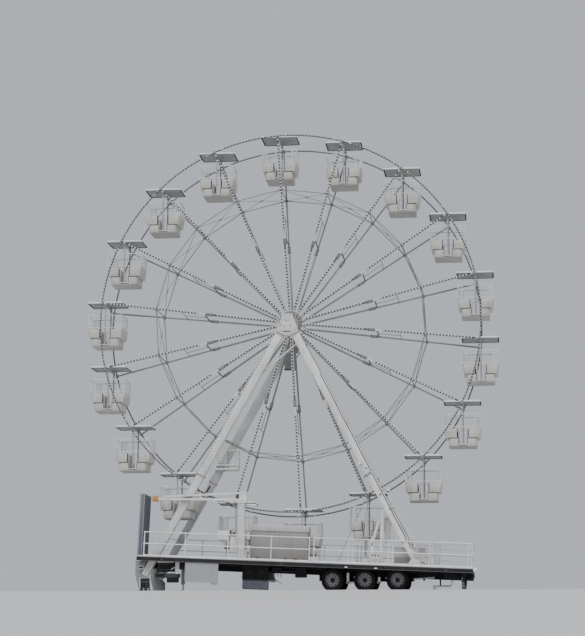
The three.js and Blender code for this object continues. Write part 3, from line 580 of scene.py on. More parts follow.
def ring(material, radius, y, sides):
    """A round tube bent to the circle of the pins."""
    bpy.ops.object.select_all(action="DESELECT")
    bpy.ops.mesh.primitive_torus_add(
        major_segments=144, minor_segments=sides, major_radius=PIVOT_RADIUS, minor_radius=radius,
        rotation=(math.pi / 2, 0, 0),
    )
    piece = made(material)
    piece.data.transform(Matrix.Translation(hub + Vector((0, y, 0))))
    return piece


for face, side in (("front", -1), ("back", 1)):
    rim_y = side * RIM_Y
    parts = [ring(rim_tube_shade, 0.033, rim_y, 12)]
    for number in range(1, GONDOLAS + 1):
        for offset in (-0.045, 0.045):
            angle = pin_angle(number) + offset
            half = Vector((math.cos(angle), 0, -math.sin(angle))) * 0.05
            middle = hub + Vector((math.sin(angle) * PIVOT_RADIUS, rim_y, math.cos(angle) * PIVOT_RADIUS))
            parts.append(tube(bare_steel, middle - half, middle + half, 0.041, 12, 0.005))
        boss = pivots[f"gondola_{number:02d}"] + Vector((0, rim_y, 0))
        half = Vector((0, 0.042, 0))
        parts.append(tube(shaded_wheel_white, boss - half, boss + half, 0.058, 12, 0.008))
    if side < 0:
        cap = ball(lamp_white, 0.019)
        cap.data.transform(
            Matrix.Translation((0, -RIM_Y - 0.037, PIVOT_RADIUS)) @ Matrix.Diagonal((1, 0.8, 1, 1)),
        )
        lamp_count = int(2 * math.pi * PIVOT_RADIUS / LAMP_PITCH)
        for number in range(lamp_count):
            turn = Matrix.Rotation(2 * math.pi * number / lamp_count, 4, "Y")
            parts.append(copy_of(cap, Matrix.Translation(hub) @ turn))
        bpy.data.objects.remove(cap)
        parts.append(ring(lamp_channel, 0.017, -RIM_Y - 0.024, 6))
    rim = join(f"rim_ring_{face}", parts, 40)
    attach(rim, "wheel")
    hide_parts(f"rim_{face}")

# Hub. A welded drum with two thick flanges turns on the fixed axle. The spoke feet are
# bolted to the flanges' edges, and ribs stiffen the drum between them.


def turned(material, profile, sides):
    """A ring turned round Z: a circle extruded and resized from one (radius, height) to the next."""
    radius, height = profile[0]
    bpy.ops.object.select_all(action="DESELECT")
    bpy.ops.mesh.primitive_circle_add(vertices=sides, radius=radius, location=(0, 0, height))
    piece = made(material)
    bpy.ops.object.mode_set(mode="EDIT")
    bpy.ops.mesh.select_mode(type="EDGE")
    bpy.ops.mesh.select_all(action="SELECT")
    for (radius, height), (next_radius, next_height) in zip(profile, profile[1:]):
        ratio = next_radius / radius
        bpy.ops.mesh.extrude_edges_move(TRANSFORM_OT_translate={"value": (0, 0, next_height - height)})
        bpy.ops.transform.resize(value=(ratio, ratio, 1), center_override=(0, 0, 0))
    bpy.ops.mesh.select_all(action="DESELECT")
    bpy.ops.mesh.select_mode(type="VERT")
    bpy.ops.mesh.select_non_manifold()
    bpy.ops.mesh.bridge_edge_loops()
    bpy.ops.mesh.select_all(action="SELECT")
    bpy.ops.mesh.normals_make_consistent(inside=False)
    bpy.ops.object.mode_set(mode="OBJECT")
    return piece


leg_paint = paint("leg_paint", (0.66, 0.66, 0.64), (0.30, 0.29, 0.27), 0.55, 0.42, metallic=0.05, grain=1.1)
hub_paint = paint("hub_paint", (0.42, 0.42, 0.41), (0.20, 0.19, 0.18), 0.6, 0.42, metallic=0.05, grain=3)
AXLE_BORE = 0.1215
drum = turned(
    hub_paint,
    [
        (AXLE_BORE, -0.650), (0.455, -0.650), (0.468, -0.637), (0.468, -0.563), (0.455, -0.550),
        (0.245, -0.550), (0.230, -0.535), (0.230, 0.535), (0.245, 0.550), (0.455, 0.550),
        (0.468, 0.563), (0.468, 0.637), (0.455, 0.650), (AXLE_BORE, 0.650),
    ],
    54,
)
parts = [drum]
collar = turned(
    bare_steel, [(AXLE_BORE, 0.645), (0.235, 0.645), (0.235, 0.70), (0.215, 0.72), (AXLE_BORE, 0.72)], 40,
)
parts.append(collar)
parts.append(copy_of(collar, Matrix.Rotation(math.pi, 4, "X")))
bolt = tube(dark_joints_and_painted_shade, (0.28, 0, 0.645), (0.28, 0, 0.668), 0.021, 6, 0.003)
rib = block(leg_paint, (0.225, -0.010, -0.552), (0.44, 0.010, 0.552), 0.003)
clamp = block(shaded_wheel_white, (0.335, -0.048, 0.640), (0.462, 0.048, 0.672), 0.008)
stud = tube(dark_joints_and_painted_shade, (0.395, 0, 0.660), (0.395, 0, 0.690), 0.024, 6, 0.003)
first_turn = pin_angle(1) + math.pi / 2
other_end = Matrix.Rotation(math.pi, 4, "X")
for number in range(GONDOLAS):
    turn = Matrix.Rotation(2 * math.pi * number / GONDOLAS + first_turn, 4, "Z")
    for piece in (bolt, clamp, stud):
        parts.append(copy_of(piece, turn))
        parts.append(copy_of(piece, other_end @ turn))
    if number % 3 == 0:
        parts.append(copy_of(rib, turn))
for piece in (bolt, clamp, stud, rib):
    bpy.data.objects.remove(piece)
drum = join("hub_drum_welded", parts, 30)
drum.data.transform(Matrix.Translation(hub) @ Matrix.Rotation(math.pi / 2, 4, "X"))
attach(drum, "wheel")
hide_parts("hub_drum")

# Leg frames. Each leg is a welded box beam, bolted together in two lengths at a flange. The
# front legs carry lamp sockets and a lamp channel along their outer edges. The head plates
# close each pair of legs and carry the fixed axle.
LEG_Y = 1.72
LEG_FACE = 0.12
LEG_TOP = Vector((0.33, 0, 10.86))
LEG_FEET = {-1: Vector((-6.024, 0, 0.70)), 1: Vector((5.31, 0, 1.29))}
WIDEST = 0.235
LEG_WIDTHS = ((0.0, 0.34), (WIDEST, 0.425), (1.0, 0.29))
LEG_JOINT = 4.87
SHOE_JOINT = 2.05
SOCKET_PITCH = 0.14
DECK_HEIGHT = 1.235
DECK_SLOPE = math.radians(2.49)
# A darker copy of the leg paint for the back legs: painted shade.
rear_leg_shade = paint(
    "rear_leg_painted_shade", (0.47, 0.47, 0.46), (0.23, 0.22, 0.20), 0.6, 0.42, metallic=0.05, grain=1.1,
)


def deck_at(x):
    """The height of the sloping deck."""
    return DECK_HEIGHT - math.tan(DECK_SLOPE) * x


def softened(material, node, width):
    """A new mesh with a node's own shape: merged, its flat faces made whole, its edges rounded."""
    piece = bpy.data.objects.new("skin", frame["nodes"][node].data.copy())
    bpy.context.collection.objects.link(piece)
    bpy.ops.object.select_all(action="DESELECT")
    piece.select_set(True)
    bpy.context.view_layer.objects.active = piece
    bpy.ops.object.mode_set(mode="EDIT")
    bpy.ops.mesh.select_all(action="SELECT")
    bpy.ops.mesh.remove_doubles(threshold=0.0001)
    bpy.ops.mesh.dissolve_limited(angle_limit=math.radians(2))
    bpy.ops.object.mode_set(mode="OBJECT")
    bpy.ops.mesh.customdata_custom_splitnormals_clear()
    rounded(piece, width)
    bpy.ops.object.mode_set(mode="EDIT")
    bpy.ops.mesh.select_all(action="SELECT")
    bpy.ops.mesh.dissolve_degenerate(threshold=0.00005)
    bpy.ops.object.mode_set(mode="OBJECT")
    piece.data.materials.clear()
    piece.data.materials.append(material)
    return piece


def leg_axis(side):
    top = Vector((side * LEG_TOP.x, 0, LEG_TOP.z))
    along = LEG_FEET[side] - top
    outward = Vector((-along.z * side, 0, along.x * side)).normalized()
    return top, along, outward


def leg_width(side, distance):
    share = distance / leg_axis(side)[1].length
    for (low, low_width), (high, high_width) in zip(LEG_WIDTHS, LEG_WIDTHS[1:]):
        if share <= high:
            return low_width + (high_width - low_width) * (share - low) / (high - low)
    return LEG_WIDTHS[-1][1]


def leg_distance(side, height):
    top, along = leg_axis(side)[:2]
    return (top.z - height) / -along.z * along.length


def on_leg(piece, side, y):
    """Puts a piece made with X outwards and Z down the leg in place on a leg."""
    top, along, outward = leg_axis(side)
    rows = Matrix((outward, (0, 1, 0), along.normalized())).transposed().to_4x4()
    piece.data.transform(Matrix.Translation(top + Vector((0, y, 0))) @ rows)
    if side > 0:
        piece.data.flip_normals()
    return piece


def bent(material, points, radius, sides=12, edge=0.0):
    """A bar bent through a row of points, as straight lengths end to end."""
    return [tube(material, start, end, radius, sides, edge) for start, end in zip(points, points[1:])]


for face, front in (("front", -1), ("back", 1)):
    outer = front * LEG_FACE
    for hand, side in (("left", -1), ("right", 1)):
        y = front * LEG_Y
        length = leg_axis(side)[1].length
        # The back legs take the darker copy: painted shade.
        beam_paint = leg_paint if front < 0 else rear_leg_shade
        parts = [softened(beam_paint, f"leg_{hand}_{face}", 0.012)]
        for height in ((LEG_JOINT,) if side < 0 else (LEG_JOINT, SHOE_JOINT)):
            flange_at = leg_distance(side, height)
            half = leg_width(side, flange_at) / 2
            for shift in (-0.042, 0.018):
                plate = block(
                    leg_paint,
                    (-half - 0.022, -LEG_FACE - 0.022, flange_at + shift),
                    (half + 0.022, LEG_FACE + 0.022, flange_at + shift + 0.024), 0.004,
                )
                parts.append(on_leg(plate, side, y))
            gasket = block(
                dark_joints_and_painted_shade,
                (-half - 0.020, -LEG_FACE - 0.020, flange_at - 0.019),
                (half + 0.020, LEG_FACE + 0.020, flange_at + 0.019), 0.003,
            )
            parts.append(on_leg(gasket, side, y))
            for row in (-1, 0, 1):
                for end in (-1, 1):
                    spot = (row * (half - 0.03), end * (LEG_FACE + 0.011))
                    bolt = tube(
                        bare_steel, (*spot, flange_at - 0.060), (*spot, flange_at + 0.060), 0.010, 6,
                    )
                    parts.append(on_leg(bolt, side, y))
        for edge in (-1, 1):
            for end in (-1, 1):
                corners = []
                for distance in (0.25, WIDEST * length, length - 0.35):
                    across = edge * (leg_width(side, distance) / 2 - 0.022)
                    corners.append((across, end * (LEG_FACE + 0.001), distance))
                for seam in bent(leg_paint, corners, 0.0045, 6):
                    parts.append(on_leg(seam, side, y))
        if front < 0 and side < 0:
            for number in range(int((leg_distance(side, LEG_JOINT) - 0.75) / SOCKET_PITCH)):
                distance = 0.62 + number * SOCKET_PITCH
                across = leg_width(side, distance) / 2 - 0.045
                socket = tube(
                    dark_joints_and_painted_shade, (across, outer - 0.016, distance), (across, outer + 0.01, distance), 0.021,
                    8, 0.005,
                )
                parts.append(on_leg(socket, side, y))
        if front < 0 and side > 0:
            start, stop = leg_distance(side, 9.05), length - 0.45
            steps = 5
            for number in range(steps):
                low = start + (stop - start) * number / steps
                high = start + (stop - start) * (number + 1) / steps
                across = leg_width(side, (low + high) / 2) / 2
                channel = block(
                    dark_joints_and_painted_shade, (across - 0.085, outer - 0.010, low), (across - 0.050, outer + 0.004, high),
                    0.002,
                )
                parts.append(on_leg(channel, side, y))
                strip = block(
                    rail_white, (across - 0.048, outer - 0.024, low), (across - 0.010, outer + 0.004, high),
                    0.004,
                )
                parts.append(on_leg(strip, side, y))
            # Near-black faces stand for slots in the leg: painted shade in the slots.
            for height in (5.09, 3.98):
                distance = leg_distance(side, height)
                slot_face = block(
                    dark_joints_and_painted_shade, (-0.05, outer - 0.008, distance - 0.03),
                    (0.03, outer + 0.004, distance + 0.03), 0.006,
                )
                parts.append(on_leg(slot_face, side, y))
        if side < 0 and front > 0:
            distance = leg_distance(side, 4.58)
            for across in (-0.06, 0.08):
                cheek = block(
                    rail_white, (across, -LEG_FACE - 0.05, distance - 0.22),
                    (across + 0.03, -LEG_FACE + 0.004, distance + 0.20), 0.006,
                )
                parts.append(on_leg(cheek, side, y))
            # A near-black block fills the slotted hole between the cheeks: painted shade in the hole.
            hole = block(
                dark_joints_and_painted_shade, (-0.03, -LEG_FACE - 0.012, distance - 0.16),
                (0.08, -LEG_FACE + 0.004, distance + 0.14), 0.004,
            )
            parts.append(on_leg(hole, side, y))
        if side > 0:
            foot = LEG_FEET[1]
            for x in (-0.22, 0.22):
                for end in (-1, 1):
                    spot = Vector((foot.x + x, y + end * 0.15, deck_at(foot.x + x) + 0.07))
                    bolt = tube(bare_steel, spot, spot + Vector((0, 0, 0.05)), 0.018, 6, 0.003)
                    parts.append(bolt)
            y0, y1 = sorted((outer - front * 0.002, outer + front * 0.015))
            for across in (-0.09, 0.09):
                rib = block(
                    leg_paint, (across - 0.012, y0 - 0.06, length - 0.30),
                    (across + 0.012, y1 + 0.06, length + 0.02), 0.006,
                )
                parts.append(on_leg(rib, side, y))
        leg = join(f"leg_beam_{hand}_{face}", parts, 30)
        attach(leg, "base")
        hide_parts(f"leg_{hand}_{face}")

for face, front in (("front", -1), ("back", 1)):
    y = front * LEG_Y
    outer = y + front * LEG_FACE
    parts = [softened(leg_paint, f"leg_head_{face}", 0.012)]
    cap = turned(
        leg_paint, [(0.012, 0.0), (0.125, 0.0), (0.130, -0.010), (0.130, -0.03), (0.012, -0.03)], 32,
    )
    cap.data.transform(
        Matrix.Translation((hub.x, outer + front * 0.028, hub.z))
        @ Matrix.Rotation(math.pi / 2 * -front, 4, "X")
    )
    parts.append(cap)
    for number in range(6):
        angle = 2 * math.pi * number / 6
        spot = Vector((math.sin(angle) * 0.09, outer + front * 0.02, hub.z + math.cos(angle) * 0.09))
        parts.append(tube(bare_steel, spot, spot + Vector((0, front * 0.016, 0)), 0.011, 6, 0.002))
    for x, z in ((-0.13, -0.34), (0.13, -0.34), (-0.31, -0.30), (0.29, 0.02), (-0.14, 0.14), (0.14, 0.14)):
        spot = Vector((x * 0.97, outer - front * 0.004, hub.z + z))
        parts.append(tube(dark_joints_and_painted_shade, spot, spot + Vector((0, front * 0.022, 0)), 0.026, 6, 0.004))
    y0, y1 = sorted((outer - front * 0.10, outer + front * 0.010))
    parts.append(block(dark_joints_and_painted_shade, (-0.19, y0, hub.z - 0.60), (0.15, y1, hub.z - 0.545), 0.012))
    for side in (-1, 1):
        seam = block(
            dark_joints_and_painted_shade, (-0.185, -LEG_FACE - 0.014, -0.024), (0.185, LEG_FACE + 0.014, 0.018), 0.003,
        )
        parts.append(on_leg(seam, side, y))
        for shift in (-0.052, 0.018):
            plate = block(
                leg_paint, (-0.195, -LEG_FACE - 0.020, shift), (0.195, LEG_FACE + 0.020, shift + 0.030),
                0.004,
            )
            parts.append(on_leg(plate, side, y))
        for across in (-0.15, -0.05, 0.05, 0.15):
            spot = front * (LEG_FACE + 0.012)
            bolt = tube(bare_steel, (across, spot, -0.066), (across, spot, 0.066), 0.011, 6, 0.002)
            parts.append(on_leg(bolt, side, y))
    head = join(f"leg_head_plate_{face}", parts, 30)
    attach(head, "base")
    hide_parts(f"leg_head_{face}")

# Drive box and cross rod. A grey housing for the slip rings hangs between the rear legs just
# under the head, and a white rod braces the two front legs behind them.
drive_grey = paint("drive_box_grey", (0.25, 0.245, 0.235), (0.13, 0.125, 0.115), 0.6, 0.5, grain=3)
parts = [
    block(drive_grey, (-0.52, 1.60, 9.86), (-0.01, 1.80, 10.62), 0.020, 2),
    block(drive_grey, (-0.30, 1.60, 10.58), (0.10, 1.80, 11.04), 0.020, 2),
    block(dark_joints_and_painted_shade, (-0.54, 1.585, 9.83), (0.01, 1.81, 9.885), 0.010),
    tube(rail_white, (-1.060, -1.57, 9.25), (0.360, -1.57, 10.46), 0.030, 12, 0.004),
    *bent(dark_joints_and_painted_shade, ((0.42, -1.57, 10.28), (0.56, -1.57, 10.10), (0.36, -1.57, 9.86)), 0.020, 8, 0.003),
]
for z in (10.02, 10.14, 10.26):
    parts.append(block(drive_grey, (-0.46, 1.592, z), (-0.14, 1.604, z + 0.03), 0.004))
for x, z in ((-0.20, 9.99), (-0.16, 10.66), (-0.02, 10.66)):
    parts.append(tube(lamp_white, (x, 1.570, z), (x, 1.605, z), 0.030, 12, 0.006))
for x, z in ((-1.060, 9.25), (0.360, 10.46)):
    parts.append(block(leg_paint, (x - 0.05, -1.61, z - 0.05), (x + 0.05, -1.54, z + 0.05), 0.008))
drive = join("drive_box_and_rod", parts, 30)
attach(drive, "base")

# Maintenance cage. A small welded cage stands round the rear left leg, with a floor frame, a
# barred panel on its left and a low rail on its right. It is clamped to the leg.
CAGE = {"left": -3.54, "middle": -3.08, "right": -2.58, "inner": 1.455, "outer": 2.10}
CAGE_LOW, CAGE_FLOOR, CAGE_RAIL, CAGE_TOP = 5.44, 5.63, 6.28, 6.72
parts = []
corners = [(x, y) for x in (CAGE["left"], CAGE["right"]) for y in (CAGE["inner"], CAGE["outer"])]
for x, y in corners:
    top = CAGE_TOP if x < CAGE["middle"] else CAGE_RAIL
    parts.append(tube(rail_white, (x, y, CAGE_LOW), (x, y, top), 0.024, 10, 0.004))
for y in (CAGE["inner"], CAGE["outer"]):
    parts.append(tube(
        rail_white, (CAGE["middle"], y, CAGE_LOW), (CAGE["middle"], y, CAGE_TOP), 0.022, 10, 0.004,
    ))
    for z in (CAGE_LOW, CAGE_FLOOR):
        parts.append(tube(rail_white, (CAGE["left"], y, z), (CAGE["right"], y, z), 0.026, 10, 0.004))
    parts.append(tube(
        rail_white, (CAGE["middle"], y, CAGE_RAIL), (CAGE["right"], y, CAGE_RAIL), 0.02, 10, 0.004,
    ))
    parts.append(tube(
        rail_white, (CAGE["left"], y, CAGE_TOP), (CAGE["middle"], y, CAGE_TOP), 0.02, 10, 0.004,
    ))
    for number in range(1, 5):
        x = CAGE["left"] + (CAGE["middle"] - CAGE["left"]) * number / 5
        parts.append(tube(rail_white, (x, y, CAGE_FLOOR), (x, y, CAGE_TOP), 0.009, 6))
    for number in range(1, 9):
        z = CAGE_FLOOR + (CAGE_TOP - CAGE_FLOOR) * number / 9
        parts.append(tube(rail_white, (CAGE["left"], y, z), (CAGE["middle"], y, z), 0.009, 6))
    x = CAGE["right"] - 0.16
    parts.append(tube(rail_white, (x, y, CAGE_FLOOR), (x, y, CAGE_RAIL), 0.011, 6))
for x in (CAGE["left"], CAGE["right"]):
    top = CAGE_TOP if x < CAGE["middle"] else CAGE_RAIL
    for z in (CAGE_LOW, CAGE_FLOOR, (CAGE_FLOOR + top) / 2, top):
        parts.append(tube(rail_white, (x, CAGE["inner"], z), (x, CAGE["outer"], z), 0.02, 10, 0.004))
for y in (CAGE["inner"], 1.60, 1.84, CAGE["outer"]):
    board = block(
        rail_white, (CAGE["left"], y - 0.012, CAGE_LOW + 0.02), (CAGE["right"], y + 0.012, CAGE_LOW + 0.06),
        0.004,
    )
    parts.append(board)
for height in (CAGE_LOW + 0.06, CAGE_FLOOR + 0.02):
    distance = leg_distance(-1, height)
    half = leg_width(-1, distance) / 2 + 0.02
    for y0, y1 in ((-LEG_FACE - 0.022, -LEG_FACE - 0.002), (LEG_FACE + 0.002, LEG_FACE + 0.022)):
        clamp = block(bare_steel, (-half, y0, distance - 0.04), (half, y1, distance + 0.04), 0.004)
        parts.append(on_leg(clamp, -1, LEG_Y))
cage = join("maintenance_cage", parts, 30)
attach(cage, "base")

# Trailer deck. Chequered steel sheets lie on a ladder chassis with deep side beams. A white
# toe strip runs along the top of the dark front edge and a grey flange along its bottom.
DECK_LEFT, DECK_RIGHT, DECK_HALF = -6.28, 7.705, 2.3
on_trailer = Matrix.Translation((0, 0, DECK_HEIGHT)) @ Matrix.Rotation(DECK_SLOPE, 4, "Y")


def placed(parts, place):
    """Moves parts to their place by a matrix."""
    for part in parts:
        part.data.transform(place)
    return parts


chassis_black = paint(
    "chassis_black", (0.012, 0.013, 0.016), (0.040, 0.036, 0.032), 0.6, 0.62, grain=1.8, shine=0.25,
)
flange_grey = paint("flange_grey", (0.085, 0.088, 0.092), (0.045, 0.042, 0.040), 0.5, 0.55, shine=0.35)
chequer = paint("chequer_plate", (0.33, 0.335, 0.34), (0.15, 0.14, 0.13), 0.6, 0.4, metallic=0.7, grain=1.2)
nodes = chequer.node_tree.nodes
link = chequer.node_tree.links.new
lozenges = []
for angle in (45, -45):
    turn = nodes.new("ShaderNodeMapping")
    turn.inputs["Rotation"].default_value = (0, 0, math.radians(angle))
    turn.inputs["Scale"].default_value = (14, 34, 1)
    link(nodes["Texture Coordinate"].outputs["Object"], turn.inputs["Vector"])
    cells = nodes.new("ShaderNodeTexVoronoi")
    cells.inputs["Scale"].default_value = 1.0
    cells.inputs["Randomness"].default_value = 0.0
    link(turn.outputs["Vector"], cells.inputs["Vector"])
    bead = nodes.new("ShaderNodeMapRange")
    bead.inputs["From Min"].default_value = 0.30
    bead.inputs["From Max"].default_value = 0.18
    link(cells.outputs["Distance"], bead.inputs["Value"])
    lozenges.append(bead)
raised = nodes.new("ShaderNodeMath")
raised.operation = "MAXIMUM"
link(lozenges[0].outputs["Result"], raised.inputs[0])
link(lozenges[1].outputs["Result"], raised.inputs[1])
pattern = nodes.new("ShaderNodeBump")
pattern.inputs["Strength"].default_value = 0.6
pattern.inputs["Distance"].default_value = 0.002
link(raised.outputs["Value"], pattern.inputs["Height"])
link(nodes["Bump"].outputs["Normal"], pattern.inputs["Normal"])
link(pattern.outputs["Normal"], nodes["Principled BSDF"].inputs["Normal"])

parts = [softened(chequer, "deck_plate", 0.004)]
trims = []
for end in (-1, 1):
    for material, inset, proud, low, high in (
        (rail_white, 0.02, 0.012, -0.030, 0.012), (flange_grey, 0.01, 0.008, -0.218, -0.192),
    ):
        y0, y1 = end * (DECK_HALF - inset), end * (DECK_HALF + proud)
        trims.append(block(material, (DECK_LEFT, y0, low), (DECK_RIGHT, y1, high), 0.003))
for x0, x1 in ((DECK_LEFT - 0.006, DECK_LEFT + 0.02), (DECK_RIGHT - 0.02, DECK_RIGHT + 0.006)):
    trims.append(block(rail_white, (x0, -DECK_HALF, -0.030), (x1, DECK_HALF, 0.010), 0.003))
for seam_x in (-4.70, -2.60, 0.50, 2.535, 5.30):
    seam = block(
        dark_joints_and_painted_shade, (seam_x - 0.004, -DECK_HALF + 0.02, -0.002), (seam_x + 0.004, DECK_HALF - 0.02, 0.002),
    )
    trims.append(seam)
    for row in range(12):
        y = -DECK_HALF + 0.12 + row * (2 * DECK_HALF - 0.24) / 11
        for x in (seam_x - 0.04, seam_x + 0.04):
            trims.append(tube(bare_steel, (x, y, -0.002), (x, y, 0.004), 0.010, 8, 0.001))
for side in (-1, 1):
    for x0, x1, y0, y1 in (
        (-5.89, -5.30, 1.53, 1.56), (-5.89, -5.30, 1.88, 1.91), (-5.90, -5.87, 1.53, 1.91),
        (-5.32, -5.29, 1.53, 1.91),
    ):
        trims.append(block(bare_steel, (x0, side * y0, -0.055), (x1, side * y1, 0.022), 0.004))
deck = join("trailer_deck", parts + placed(trims, on_trailer), 30)
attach(deck, "base")
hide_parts("deck_plate")

# Chassis. Two deep side beams, a lighter beam along each edge and cross beams between them
# carry the deck, with a pump box in the middle. Hoses, lamps and brackets hang below it.
parts = [softened(chassis_black, "chassis_frame", 0.006)]
details = []
for side in (-1, 1):
    for number in range(17):
        x = DECK_LEFT + 0.45 + number * 0.82
        if -2.1 < x < -0.75:
            continue
        low, high = (x - 0.006, side * 0.566, -0.405), (x + 0.006, side * 0.62, -0.065)
        details.append(block(chassis_black, low, high, 0.002))
    y = side * 0.60
    for height, radius in ((-0.13, 0.014), (-0.17, 0.011), (-0.21, 0.018)):
        details.append(tube(dark_joints_and_painted_shade, (DECK_LEFT + 0.3, y, height), (-2.0, y, height), radius, 8))
        details.append(tube(dark_joints_and_painted_shade, (-0.8, y, height), (DECK_RIGHT - 0.3, y, height), radius, 8))
for x in (2.505, 3.735):
    details.append(block(lamp_white, (x - 0.055, -2.325, -0.19), (x + 0.055, -2.295, -0.145), 0.008, 2))
for x in (-5.2, -0.2, 6.6):
    details.append(block(dark_joints_and_painted_shade, (x - 0.05, -2.318, -0.17), (x + 0.05, -2.295, -0.12), 0.008, 2))
box = {"left": -1.95, "right": -0.85, "y": 1.2, "top": -0.07, "low": -0.76}
for front in (-1, 1):
    y0, y1 = sorted((front * (box["y"] - 0.002), front * (box["y"] + 0.010)))
    for x0, x1 in ((box["left"] + 0.03, -1.42), (-1.38, box["right"] - 0.03)):
        details.append(block(
            chassis_black, (x0, y0, box["low"] + 0.05), (x1, y1, box["top"] - 0.16), 0.006,
        ))
        middle = (x0 + x1) / 2
        knob = block(
            flange_grey, (middle - 0.06, min(y0, y1 + front * 0.03), -0.46),
            (middle + 0.06, max(y1, y0 + front * 0.03), -0.43), 0.004,
        )
        details.append(knob)
chassis = join("trailer_chassis", parts + placed(details, on_trailer), 30)
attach(chassis, "base")
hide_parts("chassis_frame")

# Gear hung under the deck: a valve box and a landing leg with a round foot at the left, a
# blow-down pipe and hoses by the tool box, chock brackets between the tyres, and draw bars.
FRONT_ROW = -1.70
valve_box = [
    block(chassis_black, (-5.50, FRONT_ROW, 0.86), (-4.79, FRONT_ROW + 0.5, 1.26), 0.012),
    block(rail_white, (-5.48, FRONT_ROW - 0.02, 1.225), (-4.80, FRONT_ROW + 0.48, 1.30), 0.008),
    block(flange_grey, (-5.44, FRONT_ROW - 0.012, 0.91), (-4.85, FRONT_ROW + 0.01, 1.18), 0.008),
    block(chassis_black, (-5.41, FRONT_ROW - 0.018, 0.94), (-4.88, FRONT_ROW + 0.01, 1.15), 0.006),
    block(flange_grey, (-5.62, FRONT_ROW, 0.60), (-4.56, FRONT_ROW + 0.32, 0.78), 0.012),
    block(chassis_black, (-5.10, FRONT_ROW + 0.02, 0.40), (-4.62, FRONT_ROW + 0.28, 0.62), 0.015),
    block(chassis_black, (-5.56, FRONT_ROW - 0.008, 0.64), (-5.18, FRONT_ROW + 0.01, 0.74), 0.004),
    block(rail_white, (-4.72, -1.93, 0.74), (-4.52, -1.905, 1.30), 0.006),
    block(rail_white, (-4.72, -1.93, 0.74), (-4.69, -1.78, 1.30), 0.006),
    tube(rail_white, (-4.88, -1.92, 0.92), (-4.70, -1.92, 1.03), 0.022, 10, 0.004),
    block(flange_grey, (-4.435, -1.97, 0.30), (-4.295, -1.83, 1.28), 0.010),
    block(chassis_black, (-4.475, -2.00, 0.92), (-4.255, -1.80, 1.30), 0.010),
    tube(bare_steel, (-4.365, -1.90, 0.06), (-4.365, -1.90, 0.36), 0.045, 14, 0.006),
    tube(flange_grey, (-4.365, -1.90, 0.0), (-4.365, -1.90, 0.055), 0.125, 24, 0.015),
]
PIPE_ROW = -1.16
pump_pipes = [
    tube(bare_steel, (-0.90, PIPE_ROW, 0.455), (-0.52, PIPE_ROW, 0.49), 0.045, 14, 0.008),
    tube(rail_white, (-0.62, PIPE_ROW, 0.63), (-0.62, PIPE_ROW, 0.80), 0.022, 10, 0.004),
    tube(rail_white, (-0.46, PIPE_ROW, 0.63), (-0.46, PIPE_ROW, 0.80), 0.022, 10, 0.004),
    *bent(
        flange_grey,
        [(x, PIPE_ROW, z) for x, z in ((-0.33, 0.60), (-0.33, 0.80), (-0.27, 0.845), (0.28, 0.845))],
        0.016, 10,
    ),
    block(chassis_black, (-0.72, PIPE_ROW - 0.03, 0.78), (-0.30, PIPE_ROW + 0.22, 1.02), 0.012),
    block(chassis_black, (0.26, PIPE_ROW - 0.05, 0.60), (0.74, PIPE_ROW + 0.25, 1.00), 0.012),
]
for number in range(5):
    x = -0.53 + number * 0.05
    pump_pipes.append(tube(
        bare_steel, (x, PIPE_ROW, 0.50 - number * 0.022), (x + 0.012, PIPE_ROW, 0.43 - number * 0.022),
        0.014, 8,
    ))
for x0, height, foot in ((2.44, 0.78, 0.30), (3.74, 0.60, 0.15)):
    pump_pipes.append(block(rail_white, (x0, -1.27, 0.33), (x0 + 0.10, -1.245, height), 0.004))
    pump_pipes.append(block(rail_white, (x0 - 0.03, -1.27, 0.33), (x0 - 0.03 + foot, -1.17, 0.40), 0.006))
    pump_pipes.append(tube(chassis_black, (x0 + 0.05, -1.22, 0.38), (x0 + 0.05, -1.22, 0.90), 0.018, 8))
BAR_ROW = -1.30
rear_bars = [
    tube(rail_white, (5.22, BAR_ROW, 0.50), (6.10, BAR_ROW, 0.565), 0.034, 12, 0.006),
    block(chassis_black, (5.62, BAR_ROW - 0.03, 0.44), (5.70, BAR_ROW + 0.16, 0.90), 0.006),
    tube(rail_white, (6.06, BAR_ROW, 0.205), (6.77, BAR_ROW, 0.215), 0.032, 12, 0.006),
    block(rail_white, (6.02, BAR_ROW - 0.04, 0.07), (6.13, BAR_ROW + 0.04, 0.24), 0.008),
    block(rail_white, (6.13, BAR_ROW - 0.03, 0.07), (6.24, BAR_ROW + 0.03, 0.12), 0.006),
    tube(rail_white, (6.77, BAR_ROW, 0.20), (6.79, BAR_ROW, 0.46), 0.020, 10, 0.004),
    tube(rail_white, (6.79, BAR_ROW, 0.46), (6.91, BAR_ROW, 0.32), 0.014, 10, 0.003),
    block(chassis_black, (6.30, BAR_ROW - 0.02, 0.19), (6.36, BAR_ROW + 0.16, 0.80), 0.006),
    block(chassis_black, (5.45, BAR_ROW + 0.02, 0.62), (6.25, BAR_ROW + 0.30, 0.90), 0.012),
    block(chassis_black, (6.45, -1.60, 0.50), (7.10, -1.20, 0.74), 0.012),
]
hung = join("underdeck_gear", valve_box + pump_pipes + rear_bars, 30)
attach(hung, "base")

